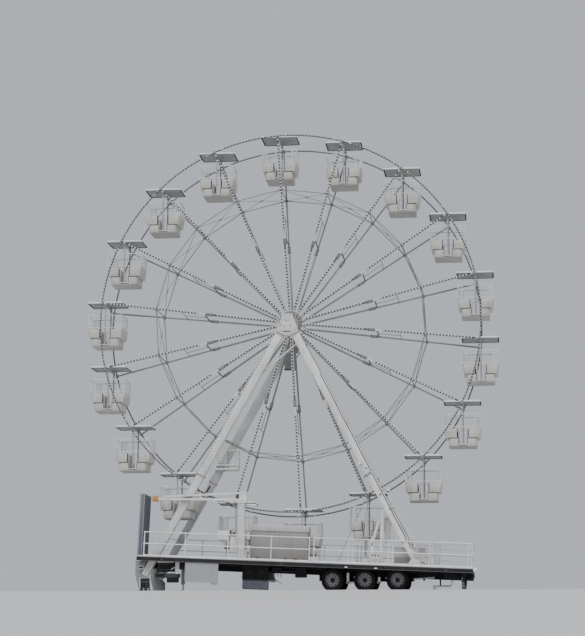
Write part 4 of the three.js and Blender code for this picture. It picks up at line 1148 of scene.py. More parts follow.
# Tool box and side skirt. A riveted steel box with two doors hangs under the pump box. The
# skirt is one flat sheet on hooks, with a chamfered lower corner.
tool_blue = paint(
    "toolbox_blue_grey", (0.160, 0.170, 0.215), (0.30, 0.30, 0.33), 0.45, 0.42, metallic=0.25, grain=4,
)
parts = [softened(tool_blue, "underdeck_toolbox", 0.012)]
LOCKER = {"left": -1.93, "right": -0.872, "front": -1.19, "top": -0.768, "low": -1.172}
details = []
for x0, x1 in ((LOCKER["left"] + 0.03, -1.42), (-1.385, LOCKER["right"] - 0.03)):
    door = block(
        tool_blue, (x0, LOCKER["front"] - 0.012, LOCKER["low"] + 0.04),
        (x1, LOCKER["front"] + 0.004, LOCKER["top"] - 0.075), 0.006,
    )
    details.append(door)
    for rib_z in (-1.08, -1.02, -0.96):
        rib = block(
            tool_blue, (x0 + 0.04, LOCKER["front"] - 0.018, rib_z - 0.008),
            (x1 - 0.04, LOCKER["front"], rib_z + 0.008), 0.004,
        )
        details.append(rib)
    middle = (x0 + x1) / 2
    latch = block(
        bare_steel, (middle - 0.03, LOCKER["front"] - 0.03, -0.90), (middle + 0.03, LOCKER["front"], -0.86),
        0.006,
    )
    details.append(latch)
lid_strip = block(
    flange_grey, (LOCKER["left"] - 0.01, LOCKER["front"] - 0.016, LOCKER["top"] - 0.06),
    (LOCKER["right"] + 0.01, LOCKER["front"] + 0.02, LOCKER["top"]), 0.006,
)
details.append(lid_strip)
for x0, x1, z0, z1 in (
    (-1.62, -1.16, -0.855, -0.838), (-0.905, -0.885, -1.15, -0.86), (-1.40, -1.22, -1.13, -1.118),
):
    edge = block(bare_steel, (x0, LOCKER["front"] - 0.022, z0), (x1, LOCKER["front"] - 0.002, z1), 0.003)
    details.append(edge)
locker = join("tool_locker", parts + placed(details, on_trailer), 30)
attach(locker, "base")
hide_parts("underdeck_toolbox")

skirt_white = paint("skirt_sheet", (0.325, 0.325, 0.33), (0.20, 0.19, 0.18), 0.4, 0.45, grain=1.6)
SKIRT = {"left": -4.212, "right": -2.813, "top": -0.212, "low": -1.019}
sheet = block(skirt_white, (SKIRT["left"], -2.272, SKIRT["low"]), (SKIRT["right"], -2.258, SKIRT["top"]))
corner_x, corner_z = SKIRT["left"] + 0.01, SKIRT["low"] + 0.01
round_edges(
    sheet, 0.06, 1,
    lambda first, second: abs(first.y - second.y) > 0.005 and first.z < corner_z and first.x < corner_x,
)
details = [sheet]
for x0, x1, z0, z1 in (
    (SKIRT["left"], SKIRT["left"] + 0.022, SKIRT["low"] + 0.06, SKIRT["top"]),
    (SKIRT["right"] - 0.022, SKIRT["right"], SKIRT["low"], SKIRT["top"]),
    (SKIRT["left"] + 0.06, SKIRT["right"], SKIRT["low"], SKIRT["low"] + 0.022),
    (SKIRT["left"], SKIRT["right"], SKIRT["top"] - 0.022, SKIRT["top"]),
):
    details.append(block(skirt_white, (x0, -2.286, z0), (x1, -2.256, z1), 0.003))
for x in (-3.95, -3.51, -3.07):
    details.append(block(
        bare_steel, (x - 0.03, -2.29, SKIRT["top"] - 0.01), (x + 0.03, -2.25, SKIRT["top"] + 0.06), 0.004,
    ))
    details.append(tube(bare_steel, (x, -2.296, -0.30), (x, -2.27, -0.30), 0.012, 8, 0.003))
drop_plate = block(
    skirt_white, (-3.10, -2.274, SKIRT["low"] - 0.095), (SKIRT["right"], -2.262, SKIRT["low"] + 0.01),
    0.003,
)
details.append(drop_plate)
skirt = join("skirt_panel", placed(details, on_trailer), 30)
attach(skirt, "base")
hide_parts("side_skirt")

# Leg stands. Each left leg ends on a steel stand: cheek plates with a slotted hole beside
# the leg, a dark packing frame under it, and a base plate with bolts.
stand_grey = paint("stand_grey", (0.24, 0.24, 0.245), (0.13, 0.12, 0.11), 0.55, 0.45, grain=1.6)
for face, front in (("front", -1), ("back", 1)):
    y = front * LEG_Y
    outer = y + front * LEG_FACE
    parts = [softened(stand_grey, f"leg_stand_{face}", 0.010)]
    y0, y1 = sorted((outer - front * 0.02, outer + front * 0.008))
    for low, high, material in (
        ((-6.305, y0, 0.955), (-6.035, y1, 1.085), rail_white),
        # A near-black block fills the slotted hole: painted shade in the hole.
        ((-6.28, y0 - 0.003, 0.975), (-6.06, y1 + 0.003, 1.065), dark_joints_and_painted_shade),
        ((-6.235, y0, 0.05), (-5.795, y1, 0.56), chassis_black),
        ((-6.225, y0 - 0.004, 0.07), (-6.185, y1 + 0.004, 0.60), rail_white),
        ((-6.13, y0 - 0.006, 0.40), (-5.80, y1 + 0.006, 0.44), flange_grey),
        ((-6.13, y0 - 0.006, 0.12), (-5.80, y1 + 0.006, 0.16), flange_grey),
        ((-5.93, y0 - 0.005, 0.14), (-5.90, y1 + 0.005, 0.42), flange_grey),
    ):
        parts.append(block(material, low, high, 0.006))
    for x in (-6.34, -5.71):
        for end in (-0.25, 0.25):
            spot = Vector((x, y + end, 0.038))
            parts.append(tube(bare_steel, spot, spot + Vector((0, 0, 0.035)), 0.018, 6, 0.003))
    for x in (-6.22, -6.02, -5.83):
        parts.append(block(leg_paint, (x - 0.01, y - 0.28, 0.035), (x + 0.01, y + 0.28, 0.16), 0.004))
    stand = join(f"stand_{face}", parts, 30)
    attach(stand, "base")
    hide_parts(f"leg_stand_{face}")

# Corner jacks. A square outer tube is bolted under the last cross beam, and a screw with a
# round pad comes down from it to the ground.
for face, front in (("front", -1), ("back", 1)):
    x, y = 7.285, front * 1.90
    parts = [softened(flange_grey, f"corner_jack_{face}", 0.006)]
    parts.append(block(chassis_black, (x - 0.075, y - 0.075, 0.36), (x + 0.075, y + 0.075, 0.735), 0.010))
    for height in (0.14, 0.20, 0.26, 0.32):
        parts.append(tube(bare_steel, (x, y, height), (x, y, height + 0.02), 0.066, 16, 0.004))
    handle = tube(
        bare_steel, (x - 0.04, y + front * 0.07, 0.52), (x - 0.04, y + front * 0.13, 0.52), 0.012, 8,
    )
    parts.append(handle)
    parts.append(tube(
        bare_steel, (x - 0.04, y + front * 0.125, 0.52), (x - 0.04, y + front * 0.125, 0.38), 0.012, 8,
    ))
    for sx in (-1, 1):
        for sy in (-1, 1):
            spot = Vector((x + sx * 0.16, y + sy * 0.16, 0.028))
            parts.append(tube(bare_steel, spot, spot + Vector((0, 0, 0.02)), 0.012, 6))
    jack = join(f"jack_{face}", parts, 30)
    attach(jack, "base")
    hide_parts(f"corner_jack_{face}")

# Railings. Welded frames of round tube stand in sockets along the deck's edges: a top rail,
# a middle rail and a low rail. The right-hand bay has a second frame just inside the first.
RAIL_LINE = 2.265
TUBE = 0.0245
RAIL_HEIGHTS = (0.985, 0.505, 0.027)
LEFT_POSTS = (-5.99, -4.255, -2.46, -0.64, 0.95)
RIGHT_POSTS = (1.145, 2.58, 2.75, 4.235, 4.40, 5.91, 6.03, 7.515, 7.65)


def railing_run(posts, y):
    """One run of railing along the deck, with a socket and a pin at the foot of every post."""
    bars = []
    for height in RAIL_HEIGHTS:
        bars.append(tube(rail_white, (posts[0], y, height), (posts[-1], y, height), TUBE, 12, 0.004))
    for x in posts:
        bars.append(tube(rail_white, (x, y, 0.002), (x, y, RAIL_HEIGHTS[0]), TUBE, 12, 0.004))
        bars.append(tube(rail_white, (x, y, 0.0), (x, y, 0.115), TUBE + 0.008, 12, 0.003))
        pin_y = y - math.copysign(0.045, y)
        bars.append(tube(bare_steel, (x, pin_y, 0.085), (x, y, 0.085), 0.008, 8))
        bars.append(block(rail_white, (x - 0.05, y - 0.032, 0.0), (x + 0.05, y + 0.032, 0.012), 0.003))
        for height in RAIL_HEIGHTS[:2]:
            bars.append(tube(
                rail_white, (x - 0.034, y, height), (x + 0.034, y, height), TUBE + 0.004, 12, 0.004,
            ))
    return bars


runs = {
    "railing_front_left": railing_run(LEFT_POSTS, -RAIL_LINE),
    "railing_front_right": railing_run(RIGHT_POSTS, -RAIL_LINE),
    "railing_back": railing_run((*LEFT_POSTS, *RIGHT_POSTS[:-2], 7.55), RAIL_LINE),
}
end_x = RIGHT_POSTS[-1]
for height in RAIL_HEIGHTS:
    rail = tube(rail_white, (end_x, -RAIL_LINE, height), (end_x, RAIL_LINE, height), TUBE, 12, 0.004)
    runs["railing_front_right"].append(rail)
for y in (-0.75, 0.75):
    runs["railing_front_right"].append(tube(
        rail_white, (end_x, y, 0.002), (end_x, y, 0.985), TUBE, 12, 0.004,
    ))
INNER_FRAME = {"left": 6.07, "right": 7.48, "y": -2.212, "top": 0.925, "middle": 0.46}
for height in (INNER_FRAME["top"], INNER_FRAME["middle"]):
    rail = tube(
        rail_white, (INNER_FRAME["left"], INNER_FRAME["y"], height),
        (INNER_FRAME["right"], INNER_FRAME["y"], height), 0.020, 12, 0.004,
    )
    runs["railing_front_right"].append(rail)
for x in (INNER_FRAME["left"], INNER_FRAME["right"]):
    post = tube(
        rail_white, (x, INNER_FRAME["y"], 0.0), (x, INNER_FRAME["y"], INNER_FRAME["top"]), 0.020, 12, 0.004,
    )
    runs["railing_front_right"].append(post)
gate_loop = []
for start, end in (
    ((1.24, 0.14), (1.30, 0.20)), ((1.30, 0.20), (1.30, 0.42)), ((1.30, 0.42), (1.24, 0.48)),
    ((1.24, 0.48), (1.18, 0.48)), ((1.24, 0.14), (1.18, 0.14)),
):
    gate_loop.append(tube(
        rail_white, (start[0], -RAIL_LINE, start[1]), (end[0], -RAIL_LINE, end[1]), 0.016, 10,
    ))
runs["railing_front_right"] += gate_loop
for node, bars in runs.items():
    fence = join(f"{node}_tubes", placed(bars, on_trailer), 40)
    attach(fence, "base")
    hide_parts(node)

# End screen. A pressed steel door stands upright across the left end of the front walkway,
# with ribs, a bright edge strip and hinges. It is fixed in place.
screen_grey = paint(
    "screen_grey", (0.105, 0.120, 0.145), (0.16, 0.15, 0.14), 0.35, 0.5, metallic=0.2, grain=1.3,
)
edge_grey = paint("screen_edge", (0.30, 0.33, 0.36), (0.15, 0.15, 0.15), 0.45, 0.42, metallic=0.3)
SCREEN = {"left": -6.275, "right": -6.085, "front": -2.24, "back": -0.76, "top": 2.57}
parts = [softened(screen_grey, "end_screen", 0.008)]
details = []
for x0, x1 in (
    (SCREEN["left"] - 0.004, SCREEN["left"] + 0.05), (SCREEN["right"] - 0.02, SCREEN["right"] + 0.004),
):
    strip = block(
        edge_grey, (x0, SCREEN["front"] - 0.008, 0.01), (x1, SCREEN["front"] + 0.04, SCREEN["top"] + 0.004),
        0.004,
    )
    details.append(strip)
for face_x in (SCREEN["left"], SCREEN["right"]):
    for number in range(9):
        y = SCREEN["front"] + 0.12 + number * 0.155
        details.append(block(
            screen_grey, (face_x - 0.012, y - 0.028, 0.08),
            (face_x + 0.012, y + 0.028, SCREEN["top"] - 0.08), 0.008,
        ))
cap_strip = block(
    edge_grey, (SCREEN["left"] - 0.006, SCREEN["front"] - 0.008, SCREEN["top"] - 0.02),
    (SCREEN["right"] + 0.006, SCREEN["back"] + 0.006, SCREEN["top"] + 0.012), 0.005,
)
details.append(cap_strip)
for height in (0.35, 1.28, 2.20):
    hinge = tube(
        bare_steel, (SCREEN["right"] + 0.004, SCREEN["front"] + 0.03, height - 0.07),
        (SCREEN["right"] + 0.004, SCREEN["front"] + 0.03, height + 0.07), 0.014, 10, 0.003,
    )
    details.append(hinge)
screen = join("screen_door", parts + placed(details, on_trailer), 30)
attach(screen, "base")
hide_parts("end_screen")

# Storage box. A long sheet-steel chest with a deep lid: swaged side panels, a plinth, corner
# posts, and hinges and catches along the bottom. Small white fittings stand at its left end.
store_beige = paint("chest_beige", (0.275, 0.258, 0.240), (0.17, 0.155, 0.14), 0.4, 0.5, grain=1.5)
store_lid = paint("chest_lid", (0.50, 0.485, 0.47), (0.30, 0.28, 0.26), 0.4, 0.45, grain=1.5)
STORE = {"left": -1.61, "right": 0.815, "front": -1.60, "back": -0.80, "top": 1.25, "lid": 1.495}
parts = [softened(store_beige, "storage_box", 0.010)]
details = []
for front, y in ((-1, STORE["front"]), (1, STORE["back"])):
    y0, y1 = sorted((y - front * 0.004, y + front * 0.010))
    for x in (STORE["left"] + 0.03, (STORE["left"] + STORE["right"]) / 2, STORE["right"] - 0.03):
        details.append(block(
            store_beige, (x - 0.025, y0, 0.02), (x + 0.025, y1, STORE["top"] - 0.02), 0.005,
        ))
    details.append(block(store_lid, (STORE["left"], y0, 0.01), (STORE["right"], y1, 0.10), 0.005))
    swage = block(
        store_beige, (STORE["left"] + 0.05, y0, STORE["top"] - 0.20),
        (STORE["right"] - 0.05, y1 + 0.004 * front, STORE["top"] - 0.165), 0.005,
    )
    details.append(swage)
    for x0, x1 in ((-1.24, -0.55), (-0.48, 0.06), (0.38, 0.79)):
        details.append(block(dark_joints_and_painted_shade, (x0, y0 - 0.004, 0.002), (x1, y1 + 0.004, 0.048), 0.003))
    for x in (-1.28, -0.10, 0.32):
        y0, y1 = sorted((y, y + front * 0.030))
        details.append(block(dark_joints_and_painted_shade, (x - 0.05, y0, 0.03), (x - 0.02, y1, 0.15), 0.005))
        details.append(block(dark_joints_and_painted_shade, (x + 0.02, y0, 0.03), (x + 0.05, y1, 0.15), 0.005))
        details.append(tube(
            dark_joints_and_painted_shade, (x - 0.055, y + front * 0.022, 0.12), (x + 0.055, y + front * 0.022, 0.12), 0.010,
            8,
        ))
for x0, z0, z1 in ((-1.80, 0.86, 1.16), (-1.77, 0.34, 0.62)):
    details.append(block(rail_white, (x0, -1.60, z0), (x0 + 0.16, -1.40, z1), 0.012))
    details.append(tube(rail_white, (x0 + 0.07, -1.50, 0.0), (x0 + 0.07, -1.50, z0), 0.022, 10))
chest = join("storage_chest", parts + placed(details, on_trailer), 30)
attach(chest, "base")
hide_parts("storage_box")

parts = [softened(store_lid, "storage_box_lid", 0.012)]
details = []
for front, y in ((-1, STORE["front"] - 0.02), (1, STORE["back"] + 0.02)):
    y0, y1 = sorted((y - front * 0.002, y + front * 0.008))
    shadow = block(
        store_lid, (STORE["left"] - 0.02, y0, STORE["top"] + 0.002),
        (STORE["right"] + 0.02, y1, STORE["top"] + 0.030), 0.003,
    )
    details.append(shadow)
    for x in (STORE["left"] + 0.12, STORE["right"] - 0.12):
        details.append(tube(dark_joints_and_painted_shade, (x, y0, 1.40), (x, y1 + 0.006, 1.40), 0.014, 10, 0.003))
top_panel = block(
    store_lid, (STORE["left"] + 0.10, STORE["front"] + 0.10, STORE["lid"] - 0.01),
    (STORE["right"] - 0.10, STORE["back"] - 0.10, STORE["lid"] + 0.014), 0.008,
)
details.append(top_panel)
lid = join("storage_lid", parts + placed(details, on_trailer), 30)
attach(lid, "base")
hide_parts("storage_box_lid")

# Control box on the front walkway: a white steel cabinet on a post, with a door, a handle
# and a cable.
details = [
    block(rail_white, (-2.97, -1.78, 0.78), (-2.50, -1.56, 1.18), 0.014, 2),
    block(rail_white, (-2.94, -1.795, 0.81), (-2.53, -1.775, 1.15), 0.008),
    block(dark_joints_and_painted_shade, (-2.58, -1.81, 0.94), (-2.555, -1.79, 1.02), 0.004),
    tube(rail_white, (-2.735, -1.67, 0.0), (-2.735, -1.67, 0.79), 0.030, 12, 0.004),
    block(bare_steel, (-2.84, -1.77, 0.0), (-2.63, -1.57, 0.015), 0.004),
    tube(dark_joints_and_painted_shade, (-2.60, -1.62, 0.02), (-2.60, -1.62, 0.79), 0.014, 8),
    block(rail_white, (-2.44, -1.76, 0.40), (-2.12, -1.70, 0.95), 0.010),
    tube(rail_white, (-2.28, -1.73, 0.0), (-2.28, -1.73, 0.42), 0.024, 10),
]
control = join("control_box", placed(details, on_trailer), 30)
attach(control, "base")

# Deck cabinet beside the right legs: a stepped steel housing, beige at the left and light
# grey at the right, with panel joints, vents, a drawer and small pipe fittings.
cabinet_grey = paint("cabinet_grey", (0.50, 0.50, 0.505), (0.30, 0.29, 0.28), 0.4, 0.45)
parts = [softened(cabinet_grey, "deck_cabinet", 0.010)]
CABINET = {"left": 4.402, "step": 5.324, "right": 6.309, "front": -1.30, "low": 0.77, "high": 0.93}
details = []
y0, y1 = CABINET["front"] - 0.010, CABINET["front"] + 0.004
for x0, x1, z0, z1, material in (
    (CABINET["left"] + 0.02, CABINET["step"] - 0.01, 0.03, 0.37, store_beige),
    (CABINET["left"] + 0.02, CABINET["step"] - 0.01, 0.39, CABINET["low"] - 0.02, store_lid),
    (CABINET["step"] + 0.02, 5.80, 0.03, CABINET["high"] - 0.03, cabinet_grey),
    (5.82, CABINET["right"] - 0.02, 0.03, CABINET["high"] - 0.03, cabinet_grey),
):
    details.append(block(material, (x0, y0, z0), (x1, y1, z1), 0.006))
for number in range(6):
    z = 0.60 + number * 0.035
    details.append(block(dark_joints_and_painted_shade, (5.42, y0 - 0.006, z), (5.70, y1, z + 0.014), 0.003))
for x in (4.86, 5.76, 6.02):
    details.append(block(bare_steel, (x - 0.05, y0 - 0.02, 0.42), (x + 0.05, y0, 0.445), 0.004))
lid_low = block(
    store_lid, (CABINET["left"] - 0.01, CABINET["front"] - 0.016, CABINET["low"] - 0.012),
    (CABINET["step"] + 0.02, -0.752, CABINET["low"] + 0.010), 0.006,
)
details.append(lid_low)
lid_high = block(
    cabinet_grey, (CABINET["step"] - 0.012, CABINET["front"] - 0.016, CABINET["high"] - 0.012),
    (CABINET["right"] + 0.012, -0.752, CABINET["high"] + 0.010), 0.006,
)
details.append(lid_high)
for x, z, size in ((5.45, 0.16, 0.055), (5.62, 0.20, 0.07), (5.78, 0.14, 0.05)):
    details.append(tube(rail_white, (x, -1.52, z), (x, -1.30, z), size, 16, 0.008))
    # A near-black disc for each open bore: painted shade inside the fitting.
    details.append(tube(dark_joints_and_painted_shade, (x, -1.526, z), (x, -1.50, z), size * 0.55, 12, 0.004))
    details.append(tube(rail_white, (x, -1.44, 0.0), (x, -1.44, z), size * 0.45, 10))
cabinet = join("machine_cabinet", parts + placed(details, on_trailer), 30)
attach(cabinet, "base")
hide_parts("deck_cabinet")

# Deck fittings bolted on at the right: a long white steel kerb with a rounded end beside the
# railing, and a white buffer lamp at the corner of the deck.
kerb = block(rail_white, (4.15, -2.06, 0.002), (7.22, -1.95, 0.085))
round_edges(kerb, 0.075, 5, lambda first, second: abs(first.y - second.y) > 0.05 and first.z > 0.05)
parts = [kerb]
for x in (4.6, 5.4, 6.2, 6.9):
    parts.append(tube(bare_steel, (x, -2.005, 0.08), (x, -2.005, 0.094), 0.014, 6, 0.002))
parts.append(ball(lamp_white, 0.105, (7.80, -2.24, -0.08), 20, 10))
parts.append(tube(dark_joints_and_painted_shade, (7.69, -2.24, -0.08), (7.76, -2.24, -0.08), 0.07, 16, 0.008))
fittings = join("deck_kerb_and_buffer", placed(parts, on_trailer), 40)
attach(fittings, "base")

# Crane. A square post on a bolted flange, and a jib of two bars with a boxed head that
# turns on the post's pin. The tip is painted orange, and a short lamp hangs under the jib.
tip_orange = paint("tip_orange", (0.55, 0.235, 0.045), (0.25, 0.13, 0.06), 0.45, 0.5)
post_paint = paint(
    "crane_post_paint", (0.54, 0.54, 0.53), (0.26, 0.25, 0.23), 0.55, 0.42, metallic=0.05, grain=1.1,
)
CRANE = Vector((-1.90, -1.95, 0))
parts = [softened(post_paint, "crane_post", 0.010)]
details = []
deck_here = deck_at(CRANE.x)
for sx in (-1, 1):
    for sy in (-1, 1):
        spot = Vector((sx * 0.175, sy * 0.175, deck_here + 0.13))
        details.append(tube(bare_steel, spot, spot + Vector((0, 0, 0.035)), 0.017, 6, 0.003))
    rib = block(
        leg_paint, (sx * 0.13, -0.010, deck_here + 0.12), (sx * 0.20, 0.010, deck_here + 0.34), 0.004,
    )
    details.append(rib)
for z in (2.1, 3.0, 3.56):
    details.append(block(leg_paint, (-0.146, -0.146, z - 0.02), (0.146, 0.146, z + 0.02), 0.006))
details.append(tube(rail_white, (-0.175, -0.10, deck_here), (-0.175, -0.10, 3.55), 0.014, 8))
for z in (1.7, 2.4, 3.1):
    details.append(block(bare_steel, (-0.195, -0.115, z), (-0.125, -0.085, z + 0.03), 0.003))
details.append(turned(
    bare_steel, [(0.05, 3.628), (0.15, 3.628), (0.155, 3.636), (0.155, 3.650), (0.05, 3.655)], 32,
))
details.append(tube(rail_white, (0.13, 0, 3.60), (0.62, 0, 3.575), 0.040, 16, 0.018))
post = join("crane_mast", parts + placed(details, Matrix.Translation(CRANE)), 30)
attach(post, "base")
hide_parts("crane_post")

parts = [softened(rail_white, "crane_jib", 0.006)]
details = [
    block(tip_orange, (-3.785, -0.088, 3.765), (-3.545, 0.088, 4.012), 0.012, 2),
    tube(bare_steel, (-3.66, -0.10, 3.89), (-3.66, 0.10, 3.89), 0.030, 16, 0.004),
    tube(bare_steel, (-3.74, -0.095, 3.82), (-3.74, 0.095, 3.82), 0.014, 8),
    block(rail_white, (-0.06, -0.150, 3.76), (0.16, -0.136, 4.03), 0.006),
    # A near-black block for the recess in the head: painted shade.
    block(dark_joints_and_painted_shade, (-0.235, -0.04, 3.84), (-0.100, 0.04, 4.035), 0.006),
    block(rail_white, (0.04, -0.152, 4.085), (0.22, 0.152, 4.145), 0.010),
    tube(lamp_white, (-1.66, 0, 3.80), (-1.66, 0, 3.93), 0.032, 12, 0.010),
    block(dark_joints_and_painted_shade, (-1.69, -0.03, 3.93), (-1.63, 0.03, 4.00), 0.006),
]
for x, z in ((-0.06, 4.06), (0.20, 4.06), (-0.06, 3.70), (0.20, 3.70)):
    details.append(tube(bare_steel, (x, -0.156, z), (x, 0.156, z), 0.014, 6, 0.002))
for start, end in (((-3.3, 3.945), (-2.5, 3.97)), ((-2.5, 3.90), (-1.9, 4.0))):
    details.append(tube(flange_grey, (start[0], 0.05, start[1]), (end[0], 0.05, end[1]), 0.010, 8))
jib = join("crane_arm", parts + placed(details, Matrix.Translation(CRANE)), 30)
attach(jib, "jib")
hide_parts("crane_jib")

# Lifting column. A hydraulic column stands on a bolted foot: a thicker upper tube slides over
# the lower one, with a dark seal ring between them and a slanting rib at its right.
COLUMN = Vector((3.195, -1.0, 0))
column = turned(
    post_paint,
    [
        (0.020, 0.235), (0.105, 0.235), (0.105, 0.262), (0.075, 0.275), (0.075, 1.045),
        (0.086, 1.115), (0.086, 2.215), (0.080, 2.235), (0.060, 2.247), (0.020, 2.249),
    ],
    32,
)
parts = [
    column,
    turned(
        dark_joints_and_painted_shade,
        [(0.074, 1.040), (0.118, 1.040), (0.124, 1.048), (0.124, 1.082), (0.118, 1.090), (0.074, 1.110)],
        32,
    ),
    block(leg_paint, (-0.15, -0.15, 0.0), (0.15, 0.15, 0.020), 0.005),
    block(leg_paint, (-0.13, -0.12, 0.015), (0.13, 0.12, 0.240), 0.018, 2),
    tube(rail_white, (0.20, 0, 0.02), (0.235, 0, 0.92), 0.032, 12, 0.004),
    block(rail_white, (0.10, -0.03, 0.86), (0.26, 0.03, 0.91), 0.006),
    tube(rail_white, (-0.25, 0, 0.0), (-0.25, 0, 0.36), 0.026, 12, 0.004),
    block(rail_white, (-0.30, -0.10, 0.0), (0.28, 0.10, 0.030), 0.006),
    tube(bare_steel, (0, -0.075, 1.20), (0, -0.115, 1.20), 0.020, 10, 0.003),
    tube(bare_steel, (0, -0.075, 0.40), (0, -0.115, 0.40), 0.020, 10, 0.003),
    tube(dark_joints_and_painted_shade, (0, -0.108, 0.40), (0, -0.108, 1.20), 0.011, 8),
]
for sx in (-1, 1):
    for sy in (-1, 1):
        parts.append(tube(
            bare_steel, (sx * 0.125, sy * 0.125, 0.018), (sx * 0.125, sy * 0.125, 0.045), 0.014, 6, 0.002,
        ))
lift = join("lift_column", parts, 30)
lift.data.transform(on_trailer @ Matrix.Translation(COLUMN))
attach(lift, "base")
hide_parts("lifting_column")

# Prop. A boxed post with a braced left leg carries the folded structure on the road. Its
# foot has lightening holes, a grey slatted panel is bolted to it, and a slim brace runs down.
PROP = Vector((3.862, -1.08, 0))
parts = [softened(rail_white, "prop_frame", 0.008)]
details = []
# Near-black discs stand for the foot's lightening holes: painted shade in the holes.
for x in (-0.37, -0.24, -0.11):
    details.append(tube(dark_joints_and_painted_shade, (x, -0.176, 0.40), (x, -0.160, 0.40), 0.040, 16, 0.004))
details.append(block(leg_paint, (-0.455, -0.180, 0.02), (-0.047, -0.165, 0.33), 0.006))
details.append(block(leg_paint, (-0.455, -0.185, 0.46), (-0.047, 0.185, 0.505), 0.006))
details.append(block(dark_joints_and_painted_shade, (-0.42, -0.068, 0.80), (-0.37, -0.056, 0.98), 0.004))
for z in (0.58, 1.15, 1.8, 2.4):
    details.append(block(leg_paint, (-0.085, -0.085, z - 0.012), (0.085, 0.085, z + 0.012), 0.004))
details.append(block(leg_paint, (-0.095, -0.095, 2.575), (0.095, 0.095, 2.60), 0.006))
details.append(tube(bare_steel, (0, -0.09, 2.46), (0, 0.09, 2.46), 0.024, 12, 0.003))
for number in range(3):
    x = 0.115 + number * 0.085
    details.append(block(store_lid, (x, 0.03, 0.95), (x + 0.078, 0.05, 2.08 - number * 0.05), 0.005))
for z in (1.05, 1.95):
    details.append(block(leg_paint, (0.07, 0.048, z - 0.025), (0.37, 0.075, z + 0.025), 0.004))
brace = ((0.07, 0.0, 2.03), (0.34, 0.0, 2.06), (0.50, 0.0, 1.20), (0.49, 0.0, 0.93))
details += bent(rail_white, brace, 0.028, 12, 0.004)
for sx in (-0.42, -0.08):
    for sy in (-0.14, 0.14):
        details.append(tube(bare_steel, (sx, sy, 0.49), (sx, sy, 0.525), 0.014, 6, 0.002))
prop = join("prop_post", parts + placed(details, on_trailer @ Matrix.Translation(PROP)), 30)
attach(prop, "base")
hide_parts("prop_frame")

# Stays. Slim round stays run from the deck to the right legs, and a conduit on clips follows
# the outer edge of the front right leg. A ball lamp, a hook and a small lamp are bolted on.
parts = []
stay_low = Vector((1.72, 1.50, deck_at(1.72)))
stay_high = Vector((3.37, 1.50, LEG_JOINT))
parts.append(tube(rail_white, stay_low, stay_high, 0.026, 12, 0.004))
parts.append(block(bare_steel, (1.64, 1.44, stay_low.z - 0.002), (1.80, 1.56, stay_low.z + 0.015), 0.004))
parts.append(block(leg_paint, (3.30, 1.47, 4.79), (3.52, 1.61, 4.93), 0.008))
start, stop = leg_distance(1, 4.15), leg_distance(1, 1.55)
across = 0.27
conduit_y = -LEG_Y - 0.24
conduit = tube(rail_white, (across, 0.125, start), (across, 0.125, stop), 0.012, 8)
parts.append(on_leg(conduit, 1, conduit_y))
for number in range(4):
    distance = start + 0.1 + (stop - start - 0.2) * number / 3
    clip = block(
        bare_steel, (0.13, 0.113, distance - 0.012), (across + 0.014, 0.127, distance + 0.012), 0.003,
    )
    parts.append(on_leg(clip, 1, conduit_y))
parts.append(tube(rail_white, (4.51, -1.87, 3.41), (5.29, -1.87, 2.08), 0.013, 8, 0.003))
for x, z in ((4.51, 3.41), (5.29, 2.08)):
    parts.append(block(bare_steel, (x - 0.26, -1.884, z - 0.015), (x + 0.015, -1.832, z + 0.015), 0.004))
parts.append(ball(lamp_white, 0.075, (3.03, -1.90, 5.26), 20, 12))
parts.append(tube(dark_joints_and_painted_shade, (3.14, -1.83, 5.26), (3.03, -1.90, 5.26), 0.022, 10))
hook = ((3.38, -1.835, 4.75), (3.25, -1.93, 4.75), (3.25, -1.93, 4.66), (3.19, -1.93, 4.62))
parts += bent(dark_joints_and_painted_shade, hook, 0.014, 8, 0.003)
parts.append(block(lamp_white, (4.20, -1.90, 4.12), (4.30, -1.845, 4.20), 0.010))
parts.append(block(bare_steel, (3.96, -1.870, 4.145), (4.22, -1.832, 4.170), 0.004))
stays = join("leg_stay_and_conduit", parts, 30)
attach(stays, "base")

# Road wheels. A truck tyre with ribbed tread on a dished steel disc wheel, with a bright
# outer lip, a ring of hand holes, wheel nuts and a hub cap.
rubber = paint(
    "tyre_rubber", (0.012, 0.012, 0.013), (0.045, 0.041, 0.037), 0.55, 0.78, grain=3, bump=0.05, shine=0.3,
)
rim_steel = paint("rim_paint", (0.40, 0.40, 0.41), (0.20, 0.18, 0.16), 0.5, 0.4, metallic=0.6, grain=4)
hub_dark = paint("hub_dark", (0.075, 0.077, 0.082), (0.14, 0.12, 0.10), 0.5, 0.5, metallic=0.4, grain=5)
half_section = [
    (0.286, 0.150), (0.290, 0.176), (0.318, 0.190), (0.352, 0.1925), (0.395, 0.1925), (0.430, 0.186),
    (0.436, 0.176), (0.452, 0.168), (0.462, 0.150), (0.4690, 0.128), (0.4690, 0.088), (0.459, 0.085),
    (0.459, 0.073), (0.4690, 0.070), (0.4690, 0.020), (0.459, 0.017),
]
section = half_section + [(radius, -height) for radius, height in reversed(half_section)]
tyre = turned(rubber, section, 64)
parts = [tyre]
wheel_disc = turned(
    rim_steel,
    [
        (0.070, -0.095), (0.118, -0.095), (0.126, -0.062), (0.150, -0.052), (0.235, -0.062),
        (0.258, -0.085), (0.266, -0.150), (0.284, -0.172), (0.297, -0.180), (0.297, -0.168),
        (0.276, -0.150), (0.276, 0.150), (0.297, 0.168), (0.290, 0.180), (0.268, 0.160),
        (0.262, -0.040), (0.150, -0.030), (0.070, -0.040),
    ],
    60,
)
